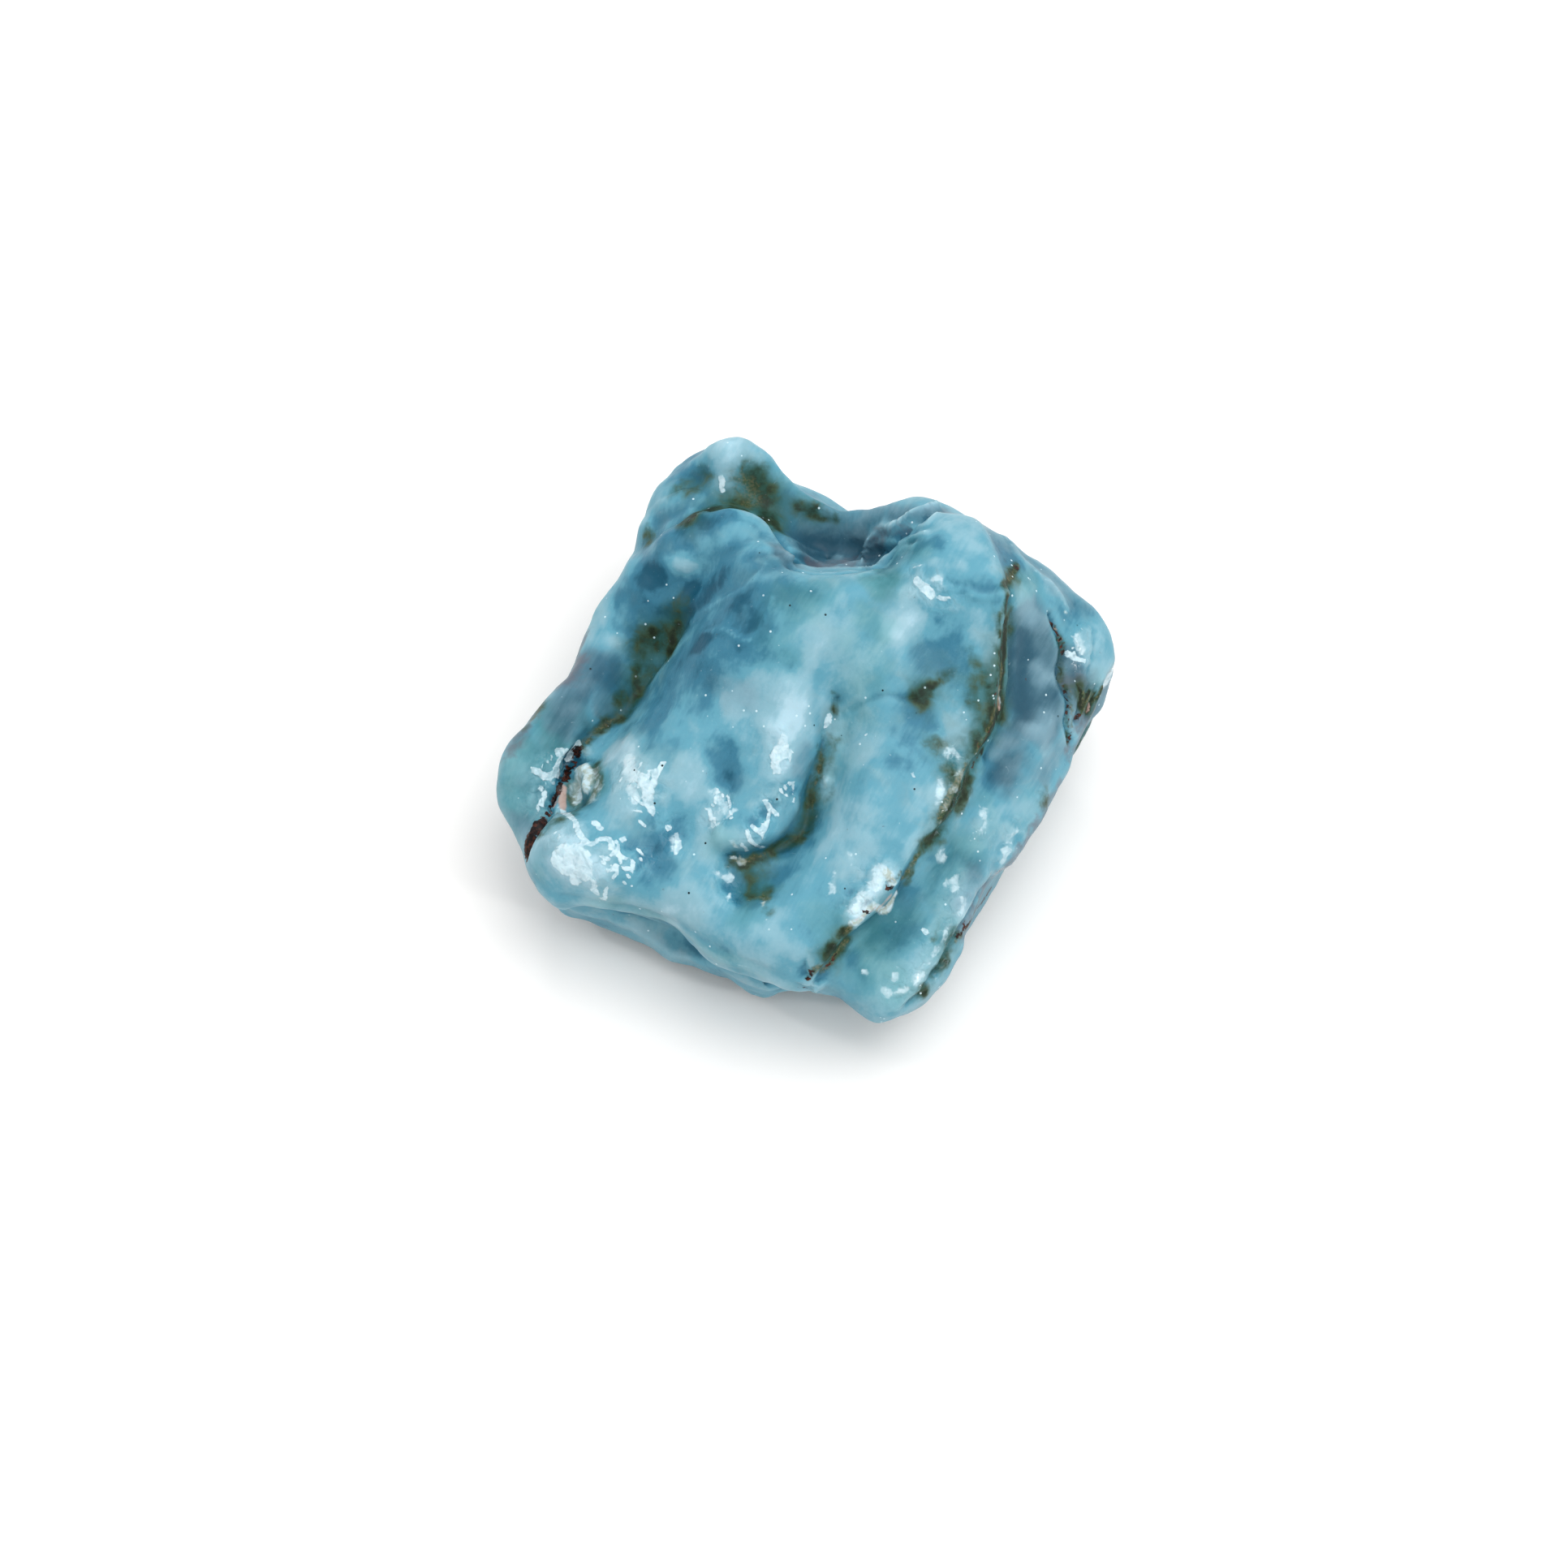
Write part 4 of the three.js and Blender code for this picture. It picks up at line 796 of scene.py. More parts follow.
        fine(0.34, 1.0, (-12.5, -1.2), (-12.8, -1.5), (-13.1, -1.9), (-13.6, -2.0)),
        # the left slab, its crack and its grain
        fine(0.14, 0.9, (-13.6, -2.0), (-13.95, -2.5), (-14.1, -2.7)),
        fine(0.26, 1.0, (-13.7, -2.9), (-13.5, -2.5), (-13.3, -2.1)),
        fine(0.32, 1.0, (-14.75, -3.2), (-14.4, -3.3), (-14.0, -3.3), (-13.5, -2.9)),
        fine(0.16, 0.9, (-14.0, -3.3), (-13.8, -3.6), (-13.7, -3.5)),
        fine(0.24, 0.8, (-14.5, -3.9), (-14.2, -4.2), (-14.4, -4.7), (-14.6, -5.1)),
        fine(0.12, 0.9, (-8.9, -4.25), (-9.1, -4.8), (-9.25, -5.3)),
        fine(0.22, 1.0, (-7.75, -4.3), (-8.1, -4.9), (-8.3, -5.5), (-8.65, -5.8)),
        fine(0.18, 1.0, (-8.3, -4.7), (-8.7, -5.2), (-8.9, -5.5)),
        fine(0.12, 0.9, (-10.0, -4.8), (-9.5, -5.3), (-9.0, -5.7)),
        fine(0.50, 1.0, (-8.95, -5.1), (-8.6, -5.6), (-8.6, -6.1)),
        fine(
            0.28, 1.0, (-13.2, -5.2), (-13.0, -5.9), (-12.75, -6.4), (-12.4, -7.1), (-12.2, -7.8),
            (-11.9, -8.2),
        ),
        fine(0.14, 0.9, (-9.8, -5.4), (-9.5, -5.9), (-9.25, -6.2)),
        fine(0.20, 1.0, (-8.4, -5.6), (-8.45, -6.1), (-8.45, -6.5)),
        fine(0.26, 1.0, (-8.65, -5.8), (-8.7, -6.15), (-8.65, -6.4), (-8.3, -6.8)),
        fine(0.12, 0.9, (-9.7, -6.1), (-9.25, -6.4), (-8.8, -6.3)),
        fine(0.14, 0.9, (-9.4, -6.65), (-9.0, -6.75)),
        fine(0.24, 1.0, (-11.4, -7.15), (-11.2, -7.35), (-11.05, -7.55)),
        fine(0.16, 0.9, (-8.9, -7.2), (-8.75, -7.4)),
        fine(0.26, 1.0, (-7.5, -7.5), (-7.4, -7.5)),
        fine(0.14, 0.8, (-13.4, -7.6), (-13.2, -8.0), (-13.1, -8.5), (-13.0, -8.85)),
        fine(0.26, 1.0, (-7.0, -7.8), (-6.9, -8.3), (-7.05, -8.75)),
        fine(0.22, 1.0, (-9.95, -8.15), (-9.75, -8.05)),
        fine(
            0.26, 1.0, (-11.9, -8.3), (-11.5, -8.5), (-11.2, -8.2), (-10.8, -8.1), (-10.5, -8.3),
            (-10.45, -8.7),
        ),
        fine(
            0.20, 1.0, (-10.2, -8.3), (-10.1, -8.6), (-10.3, -8.95), (-10.7, -9.3), (-10.9, -9.5),
            (-11.0, -9.1),
        ),
        fine(0.20, 0.9, (-11.8, -8.5), (-12.2, -8.5), (-12.5, -8.4)),
        fine(0.42, 0.9, (-13.4, -8.8), (-13.4, -9.2), (-13.2, -9.5), (-12.9, -9.75)),
        fine(0.75, 0.9, (-12.9, -8.8), (-12.6, -9.2), (-12.2, -9.6)),
        fine(
            0.18, 1.0, (-10.1, -8.9), (-9.95, -9.1), (-9.6, -9.2), (-9.3, -9.35), (-9.4, -9.7),
            (-9.7, -9.7),
        ),
        fine(0.75, 0.9, (-12.2, -9.0), (-12.0, -9.5), (-11.9, -9.9)),
        fine(0.20, 1.0, (-9.9, -9.2), (-10.2, -9.6), (-10.6, -9.85)),
        fine(0.12, 1.0, (-9.3, -9.3), (-9.0, -9.25), (-8.75, -9.05), (-8.9, -8.75), (-9.0, -8.6)),
        fine(0.20, 1.0, (-10.1, -9.6), (-10.2, -10.0), (-10.3, -10.15)),
        fine(0.50, 0.9, (-12.5, -9.6), (-12.4, -10.1)),
        fine(0.30, 0.8, (-11.4, -10.3), (-11.4, -10.5)),
        fine(0.12, 1.0, (-9.7, -10.35), (-9.4, -10.0)),
        fine(
            0.12, 1.0, (-11.7, -10.4), (-11.3, -10.55), (-10.9, -10.7, 8.4), (-10.8, -10.65),
            (-10.55, -10.4),
        ),
        # the ridge, the groove and the band
        fine(0.24, 1.0, (1.1, -1.7), (1.0, -2.1)),
        fine(0.15, 0.9, (4.3, -2.7)),
        fine(0.16, 0.9, (3.05, -3.12)),
        fine(0.12, 0.8, (3.5, -3.25)),
        stain(0.46, 1.0, (-1.3, -3.3), (-1.4, -4.0), (-1.55, -4.5)),
        stain(0.34, 1.0, (-1.7, -3.5), (-1.75, -4.3), (-1.6, -5.1)),
        stain(0.26, 0.9, (-1.1, -4.0), (-1.2, -4.7)),
        fine(0.15, 0.9, (4.3, -4.35)),
        fine(0.2, 0.8, (5.45, -5.35), (5.55, -5.45)),
        fine(0.16, 0.9, (-4.8, -5.6), (-5.0, -6.3), (-5.2, -6.8), (-4.8, -7.6)),
        fine(0.12, 1.0, (-1.45, -5.8), (-0.85, -5.4), (-0.8, -6.3), (-1.05, -6.1), (-1.3, -5.9)),
        fine(0.14, 0.9, (-4.6, -5.9), (-4.2, -6.2), (-4.2, -6.8), (-4.0, -7.3)),
        fine(0.22, 1.0, (-2.25, -6.4), (-1.95, -6.7), (-1.65, -7.0)),
        fine(0.14, 0.9, (-5.4, -6.6), (-5.1, -7.2), (-4.65, -7.65)),
        fine(0.18, 1.0, (-2.1, -6.7), (-2.15, -7.3), (-2.3, -7.9), (-2.5, -8.3)),
        fine(0.22, 1.0, (-2.95, -7.8), (-2.6, -8.0), (-2.25, -7.6)),
        fine(0.14, 0.8, (4.75, -7.9)),
        fine(0.20, 1.0, (-3.2, -8.05), (-3.1, -8.4), (-2.6, -8.5, 10.4), (-2.4, -8.4, 10.1)),
        fine(0.16, 0.9, (-3.5, -8.6), (-3.2, -8.6, 10.2)),
        fine(0.18, 1.0, (-4.0, -8.8), (-3.9, -8.8)),
        fine(0.35, 0.9, (2.7, -12.2), (2.5, -12.5)),
        # the right-hand layer
        fine(0.24, 1.0, (6.1, -12.5), (6.2, -12.6)),
    ),
    Mineral.MAUVE: (
        # the head, the boss and the hollow
        stain(1.1, 0.8, (3.6, 9.2), (5.4, 8.6)),
        stain(1.4, 0.8, (0.0, 8.0), (1.6, 8.2), (2.8, 8.6)),
        stain(1.0, 0.45, (1.0, 6.8), (2.6, 6.9)),
        # the lobe and the knob
        fine(1.5, 0.85, (16.5, 3.0, 8.4), (16.0, 1.6, 8.6), (15.2, 0.0, 8.4), (14.4, -1.6, 8.2)),
        stain(1.7, 1.0, (14.4, 1.4), (15.2, 0.6), (14.8, -0.4)),
        # the left flank and its seam
        fine(1.7, 1.0, (-11.9, 5.0, 8.6), (-12.8, 3.8, 8.4), (-12.7, 2.9, 9.4), (-13.1, 2.0, 9.2)),
        fine(1.5, 0.95, (-13.9, 1.0, 8.4), (-15.0, -0.6, 9.2), (-16.0, -1.9, 9.0)),
        # the right-hand layer
        fine(
            1.3, 0.85, (13.4, -3.4, 7.6), (12.6, -5.0, 7.8), (11.2, -7.0, 7.4), (9.8, -9.2, 6.8),
            (8.2, -12.0, 7.2),
        ),
        # the back, the sides and the underside
        stain(1.8, 0.7, (4.0, 11.9, 7.0), (7.0, 11.4, 6.0)),
        stain(1.6, 0.7, (-9.8, 9.8, 6.0), (-9.0, 10.6, 7.6)),
    ),
    Mineral.CRINKLE: (
        # the lobe and the knob
        stain(1.6, 0.9, (6.0, 4.2), (7.2, 3.4)),
        stain(1.4, 0.8, (14.9, 3.8), (15.0, 2.8)),
        # the left slab, its crack and its grain
        stain(1.8, 1.0, (-12.9, -2.0), (-13.9, -3.2), (-14.4, -4.6)),
        stain(2.0, 0.9, (-9.8, -4.4), (-8.8, -5.6)),
        stain(2.6, 1.0, (-12.6, -8.4), (-11.6, -9.8)),
        stain(1.2, 0.8, (-7.2, -8.4), (-7.6, -7.4)),
        stain(1.8, 0.9, (-10.0, -9.2), (-9.2, -9.2)),
        # the ridge, the groove and the band
        stain(1.2, 0.9, (-1.6, -3.4), (-1.5, -4.6)),
        stain(1.2, 1.0, (7.5, -4.2), (7.9, -5.4), (7.2, -6.6)),
        stain(1.2, 1.0, (-1.2, -6.0), (-2.2, -7.0), (-2.8, -8.2)),
        stain(1.4, 1.0, (-4.6, -6.4), (-4.9, -7.2)),
        stain(1.2, 0.8, (-4.8, -9.8), (-4.4, -11.0)),
        stain(1.6, 1.0, (4.0, -10.6), (2.6, -12.2)),
        # the right-hand layer
        stain(1.6, 0.9, (11.0, -6.6), (10.4, -8.2)),
        stain(1.2, 0.8, (9.6, -6.6), (9.4, -7.0)),
        stain(1.6, 0.9, (8.2, -10.2), (7.8, -11.6)),
        stain(1.8, 0.9, (6.8, -12.8), (6.2, -14.4), (4.8, -15.4)),
        # the back, the sides and the underside
        stain(1.6, 0.9, (7.2, 11.6, 9.2)),
        stain(1.4, 0.9, (16.3, 3.4, 7.8)),
        stain(1.4, 0.9, (-4.0, 16.0, 9.0)),
        stain(1.4, 0.9, (-12.4, 5.2, 7.6)),
    ),
}


# --- The stone ---------------------------------------------------------------------------------------------


def take_alone(piece: bpy.types.Object) -> None:
    """Selects one object and makes it the active one.

    Args:
        piece: The object that the next operators act on.
    """
    bpy.ops.object.select_all(action="DESELECT")
    piece.select_set(True)
    bpy.context.view_layer.objects.active = piece


def points_of(piece: bpy.types.Object) -> np.ndarray:
    """Reads a mesh's points.

    Args:
        piece: The mesh object.

    Returns:
        Its points in millimetres, one row each.
    """
    points = np.empty(len(piece.data.vertices) * 3)
    piece.data.vertices.foreach_get("co", points)
    return points.reshape(-1, 3) / MM


def move_points(piece: bpy.types.Object, points: np.ndarray) -> None:
    """Puts a mesh's points at their new places, given in millimetres."""
    piece.data.vertices.foreach_set("co", (points * MM).ravel())
    piece.data.update()


def normals_of(piece: bpy.types.Object) -> np.ndarray:
    """Reads the way a mesh faces at its points.

    Args:
        piece: The mesh object.

    Returns:
        Its normals, one row each.
    """
    normals = np.empty(len(piece.data.vertices) * 3)
    piece.data.vertex_normals.foreach_get("vector", normals)
    return normals.reshape(-1, 3)


def smooth(value: np.ndarray) -> np.ndarray:
    """Eases a share from 0 to 1 with no corner at either end."""
    share = np.clip(value, 0.0, 1.0)
    return share * share * (3.0 - 2.0 * share)


class SurfaceRuler:
    """Lays strokes on the stone and measures how far its points are from them."""

    SPACING = 0.12  # mm between the points of a laid curve
    ABOVE = 40.0  # mm, well over the stone's top
    LEVEL = 9.0  # mm, where a point that misses the top is looked for

    def __init__(self, piece: bpy.types.Object) -> None:
        """Takes the stone's surface as it is now.

        Args:
            piece: The stone.
        """
        self.points = points_of(piece)
        faces = [tuple(face.vertices) for face in piece.data.polygons]
        self.tree = BVHTree.FromPolygons([Vector(point) for point in self.points], faces)

    def touch(self, knot: Knot) -> tuple[Vector, Vector]:
        """Finds where a point of a stroke lies on the surface.

        Args:
            knot: The point (x, y), taken on the top, or (x, y, z), taken where the surface is nearest.

        Returns:
            The place, and the way the surface faces there.
        """
        if len(knot) == 2:
            place, facing, _, _ = self.tree.ray_cast(Vector((*knot, self.ABOVE)), Vector((0, 0, -1)))
            if place is not None:
                return place, facing
            knot = (*knot, self.LEVEL)
        place, facing, _, _ = self.tree.find_nearest(Vector(knot))
        return place, facing

    def lay(self, line: Line) -> tuple[np.ndarray, np.ndarray]:
        """Lays a smooth curve through a line's points on the surface.

        Args:
            line: The points, all of them on the top, or all or some of them on the sides.

        Returns:
            Closely spaced points of the curve, and the way the surface faces at each of them.
        """
        if len({len(knot) for knot in line}) > 1:
            line = tuple(tuple(self.touch(knot)[0]) for knot in line)
        knots = np.array(line, float)
        if len(knots) > 1:
            knots = self.curve(knots)
        places, facings = zip(*(self.touch(tuple(knot)) for knot in knots))
        return np.array(places), np.array(facings)

    def curve(self, knots: np.ndarray) -> np.ndarray:
        """Runs a Catmull-Rom curve through some points.

        Args:
            knots: The points, one row each.

        Returns:
            The curve's points, at the ruler's spacing.
        """
        ends = np.vstack([2 * knots[0] - knots[1], knots, 2 * knots[-1] - knots[-2]])
        rows = []
        for a, b, c, d in zip(ends, ends[1:], ends[2:], ends[3:]):
            count = max(2, int(np.linalg.norm(c - b) / self.SPACING))
            t = np.linspace(0.0, 1.0, count, endpoint=False)[:, None]
            square = (2 * a - 5 * b + 4 * c - d) * t**2
            cube = (3 * b - a - 3 * c + d) * t**3
            rows.append(0.5 * (2 * b + (c - a) * t + square + cube))
        return np.vstack([*rows, knots[-1:]])

    def measure(
        self, line: Line, reach: float, points: np.ndarray
    ) -> tuple[np.ndarray, np.ndarray, np.ndarray]:
        """Finds the points within reach of a stroke.

        Args:
            line: The stroke's line.
            reach: How far to each side it reaches.
            points: The points to measure, one row each.

        Returns:
            The indices of the points within reach, their distances, and on which side they lie: 1 to the
            left of the line, looking along it, and -1 to its right.
        """
        path, facings = self.lay(line)
        near = np.all((points > path.min(0) - reach) & (points < path.max(0) + reach), axis=1)
        chosen = np.flatnonzero(near)
        if not len(chosen):
            return chosen, np.empty(0), np.empty(0)
        offsets = points[chosen, None, :] - path[None, :, :]
        squares = np.einsum("ijk,ijk->ij", offsets, offsets)
        closest = squares.argmin(1)
        rows = np.arange(len(chosen))
        distance = np.sqrt(squares[rows, closest])
        along = np.gradient(path, axis=0) if len(path) > 1 else np.tile([1.0, 0, 0], (len(path), 1))
        left = np.cross(facings, along)[closest]
        side = np.sign(np.einsum("ij,ij->i", left, offsets[rows, closest]))
        keep = distance < reach
        return chosen[keep], distance[keep], side[keep]


class Lump(Enum):
    """The kinds of small relief."""

    ROUND = "CLOUDS"
    CHIPPED = "VORONOI"


@dataclass(frozen=True)
class Relief:
    """One layer of small relief over the stone, or over one of its painted minerals."""

    kind: Lump
    scale: float  # mm
    height: float  # mm
    depth: int = 2
    only: Mineral | None = None


@dataclass
class Stone:
    """The lump of larimar: its fine mesh, its carving, its painted minerals and its painted highlights and
    shade.
    """

    name: str = "raw_larimar"
    seed: int = 6  # of the noise that its stains wander by
    merge: float = 0.001  # mm
    pairing: float = 70.0  # degrees, the widest fold that a four-sided face may bridge
    levels: int = 2  # of subdivision
    even_share: float = 0.5
    even_passes: int = 8
    reliefs: tuple[Relief, ...] = (
        Relief(Lump.ROUND, 2.2, 0.26, depth=1),
        Relief(Lump.ROUND, 0.9, 0.10),
        Relief(Lump.CHIPPED, 0.9, 0.30, only=Mineral.CRINKLE),
    )
    group_steps: int = 20  # of strength in the group that holds the chips
    wander: tuple[tuple[float, float], ...] = ((2.4, 0.40), (0.9, 0.30), (0.4, 0.12))  # scale and size, mm
    full: float = 1.15  # how soon a stain is at full strength, inwards from its edge
    halo_passes: int = 40  # rounds of averaging that spread the moss's halo
    flank_shade_from: float = 0.55  # how level the surface still is where the painted shade of the flanks begins
    flank_shade_fade: float = 0.7  # how much less level it is where that painted shade is full
    front_turn: float = 1.2  # how soon a flank counts as the front as it turns forwards
    front_share: float = 0.65  # of the flanks' painted shade that the front goes without, as more light falls on it
    hollows: tuple[tuple[int, float], ...] = ((6, 0.04), (40, 0.25))  # rounds of averaging, and mm a unit, for the painted shade in hollows and light on ridges
    drift: np.ndarray | None = None  # how far the stains wander at each point, once it is known

    def build(self) -> bpy.types.Object:
        """Makes the finished mesh of the stone.

        Returns:
            The stone's object, at the origin, with its minerals as attributes.
        """
        noise.seed_set(self.seed)
        piece = self.copy_of_solid()
        self.refine(piece)
        self.nudge(piece, NUDGES)
        self.carve(piece, TRIMS)
        self.carve(piece, FORMS)
        self.roughen(piece)
        self.carve(piece, CUTS)
        self.settle(piece)
        self.paint(piece)
        take_alone(piece)
        bpy.ops.object.shade_smooth()
        return piece

    def copy_of_solid(self) -> bpy.types.Object:
        """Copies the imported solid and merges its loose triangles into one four-sided net.

        Returns:
            The copy.
        """
        piece = bpy.data.objects.new(self.name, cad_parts[NODE].data.copy())
        bpy.context.scene.collection.objects.link(piece)
        piece.data.materials.clear()
        take_alone(piece)
        if piece.data.has_custom_normals:
            bpy.ops.mesh.customdata_custom_splitnormals_clear()
        widest = math.radians(self.pairing)
        bpy.ops.object.mode_set(mode="EDIT")
        bpy.ops.mesh.select_all(action="SELECT")
        bpy.ops.mesh.remove_doubles(threshold=self.merge * MM)
        bpy.ops.mesh.tris_convert_to_quads(face_threshold=widest, shape_threshold=widest)
        bpy.ops.mesh.normals_make_consistent(inside=False)
        bpy.ops.object.mode_set(mode="OBJECT")
        return piece

    def refine(self, piece: bpy.types.Object) -> None:
        """Subdivides the net and evens it out, so that no facet of the solid shows.

        Args:
            piece: The stone.
        """
        divide = piece.modifiers.new("divide", "SUBSURF")
        divide.levels = divide.render_levels = self.levels
        self.finish_modifier(piece, divide)
        even = piece.modifiers.new("even", "SMOOTH")
        even.factor = self.even_share
        even.iterations = self.even_passes
        self.finish_modifier(piece, even)

    def finish_modifier(self, piece: bpy.types.Object, modifier: bpy.types.Modifier) -> None:
        """Applies a modifier to the stone."""
        take_alone(piece)
        bpy.ops.object.modifier_apply(modifier=modifier.name)

    def nudge(self, piece: bpy.types.Object, pushes: tuple[Nudge, ...]) -> None:
        """Moves parts of the surface bodily, as a grab brush does.

        Args:
            piece: The stone.
            pushes: The pushes, all taken from the surface as it is before them.
        """
        ruler = SurfaceRuler(piece)
        points = ruler.points.copy()
        for push in pushes:
            chosen, distance, _ = ruler.measure(push.line, push.reach, ruler.points)
            share = (1 - (distance / push.reach) ** 2) ** 2
            points[chosen] += share[:, None] * np.array(push.move)
        move_points(piece, points)

    def carve(self, piece: bpy.types.Object, strokes: tuple[Carve, ...]) -> None:
        """Carves a group of strokes along the normals, as a sculpting brush does.

        Args:
            piece: The stone.
            strokes: The strokes, all laid on the surface as it is before the group.
        """
        ruler = SurfaceRuler(piece)
        lift = np.zeros(len(ruler.points))
        for stroke in strokes:
            chosen, distance, side = ruler.measure(stroke.line, stroke.reach, ruler.points)
            share = distance / stroke.reach
            if stroke.cut is Cut.MOUND:
                shape = (1 - share**2) ** 2
            elif stroke.cut is Cut.EDGE:
                shape = (1 - share) ** 2
            else:
                shape = 0.5 * np.tanh(side * distance / stroke.width) * (1 - share**2) ** 2
            lift[chosen] += stroke.lift * shape
        move_points(piece, points_of(piece) + lift[:, None] * normals_of(piece))

    def roughen(self, piece: bpy.types.Object) -> None:
        """Gives the stone its small lumps, and its chips where it is crinkled.

        Args:
            piece: The stone.
        """
        crinkle = np.clip(self.weights_of(piece, Mineral.CRINKLE), 0.0, 1.0)
        group = piece.vertex_groups.new(name=Mineral.CRINKLE.value)
        for level in range(1, self.group_steps + 1):
            inside = np.flatnonzero(np.rint(crinkle * self.group_steps) == level)
            group.add(inside.tolist(), level / self.group_steps, "REPLACE")
        for index, relief in enumerate(self.reliefs):
            texture = bpy.data.textures.new(f"relief_{index}", relief.kind.value)
            texture.noise_scale = relief.scale * MM
            if relief.kind is Lump.ROUND:
                texture.noise_depth = relief.depth
                texture.noise_basis = "ORIGINAL_PERLIN"
            push = piece.modifiers.new("push", "DISPLACE")
            push.texture = texture
            push.texture_coords = "LOCAL"
            push.strength = relief.height * MM
            push.vertex_group = relief.only.value if relief.only else ""
            self.finish_modifier(piece, push)
        piece.vertex_groups.clear()

    def settle(self, piece: bpy.types.Object) -> None:
        """Keeps the stone in the solid's box and flat where it rests."""
        low, high = (np.array(corner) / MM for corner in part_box(NODE))
        move_points(piece, np.clip(points_of(piece), low, high))

    def weights_of(self, piece: bpy.types.Object, mineral: Mineral) -> np.ndarray:
        """Works out how much of one mineral is at each point.

        Args:
            piece: The stone.
            mineral: The mineral.

        Returns:
            A weight for each point: the strongest stain there, or their sum for the cloudiness.
        """
        ruler = SurfaceRuler(piece)
        drift = self.drift_of(ruler.points)
        weights = np.zeros(len(drift))
        for mark in STAINS[mineral]:
            chosen, distance, _ = ruler.measure(mark.line, mark.reach, ruler.points + mark.wobble * drift)
            laid = mark.strength * smooth(self.full * (1 - distance / mark.reach))
            if mineral is Mineral.CLOUD:
                weights[chosen] += laid
            else:
                weights[chosen] = np.maximum(weights[chosen], laid)
        return weights

    def drift_of(self, points: np.ndarray) -> np.ndarray:
        """Works out how far the stains wander at each point, once for all of them.

        Args:
            points: The stone's points, one row each.

        Returns:
            How far the stains are shifted there, one row each, in millimetres.
        """
        if self.drift is None:
            self.drift = sum(
                size * np.array([noise.noise_vector(Vector(point / scale)) for point in points])
                for scale, size in self.wander
            )
        return self.drift

    def spread(self, piece: bpy.types.Object, values: np.ndarray, passes: int) -> np.ndarray:
        """Evens out the values at the points with those of their neighbours.

        Args:
            piece: The stone.
            values: A row for each point.
            passes: How many rounds of averaging there are.

        Returns:
            The evened values.
        """
        ends = np.empty(len(piece.data.edges) * 2, int)
        piece.data.edges.foreach_get("vertices", ends)
        first, second = np.hstack([ends.reshape(-1, 2).T, ends.reshape(-1, 2).T[::-1]])
        count = np.bincount(first, minlength=len(values))[:, None]
        for _ in range(passes):
            columns = [np.bincount(first, column[second], len(values)) for column in values.T]
            values = np.stack(columns, 1) / count
        return values

    def hollow_of(self, piece: bpy.types.Object, passes: int) -> np.ndarray:
        """Measures how hollow the surface is, for the painted shade in hollows and painted light on ridges.

        Args:
            piece: The stone.
            passes: How many rounds of averaging it is set against; more of them find wider hollows.

        Returns:
            For each point, how far it lies under the averaged surface, in millimetres.
        """
        points = points_of(piece)
        even = self.spread(piece, points, passes)
        return np.einsum("ij,ij->i", even - points, normals_of(piece))

    def flank_shade_of(self, piece: bpy.types.Object) -> np.ndarray:
        """Weighs the shade painted on the steep flanks, with less of it in front, where more light falls.

        Args:
            piece: The stone.

        Returns:
            A share of painted shade for each point, from 0 on the top to 1 on the steepest sides.
        """
        facing = normals_of(piece)
        steep = smooth((self.flank_shade_from - facing[:, 2]) / self.flank_shade_fade)
        return steep * (1 - self.front_share * smooth(-self.front_turn * facing[:, 1]))

    def lay(self, piece: bpy.types.Object, name: str, weights: np.ndarray) -> None:
        """Stores a weight for each point under a name that the shader reads."""
        layer = piece.data.attributes.new(name, "FLOAT", "POINT")
        layer.data.foreach_set("value", weights.astype(np.float32))

    def paint(self, piece: bpy.types.Object) -> None:
        """Lays every mineral on the stone, with the moss's halo and the painted shade of flanks and hollows.

        Args:
            piece: The stone.
        """
        painted = {mineral: self.weights_of(piece, mineral) for mineral in Mineral}
        for mineral, weights in painted.items():
            self.lay(piece, mineral.value, weights)
            LOG.info("%s: %d stains", mineral.value, len(STAINS[mineral]))
        around = self.spread(piece, painted[Mineral.MOSS][:, None], self.halo_passes)
        self.lay(piece, "halo", around[:, 0])
        # painted shade: the steep flanks darker than the top, less so in front, where more light falls
        self.lay(piece, "flank_shade", self.flank_shade_of(piece))
        # how hollow each point is: the shader deepens the blue there as painted shade and pales it on ridges
        # as painted light
        hollow = sum(self.hollow_of(piece, passes) / unit for passes, unit in self.hollows)
        self.lay(piece, "hollow", hollow)


# --- The finish --------------------------------------------------------------------------------------------

Colour = tuple[float, float, float]
Socket = bpy.types.NodeSocket
Value = Socket | float | Colour


def linear(red: float, green: float, blue: float) -> Colour:
    """Turns a colour as it is seen on a screen into linear light.

    Args:
        red: Its red, from 0 to 1.
        green: Its green, from 0 to 1.
        blue: Its blue, from 0 to 1.

    Returns:
        The colour in linear light.
    """
    return tuple(
        channel / 12.92 if channel <= 0.04045 else ((channel + 0.055) / 1.055) ** 2.4
        for channel in (red, green, blue)
    )


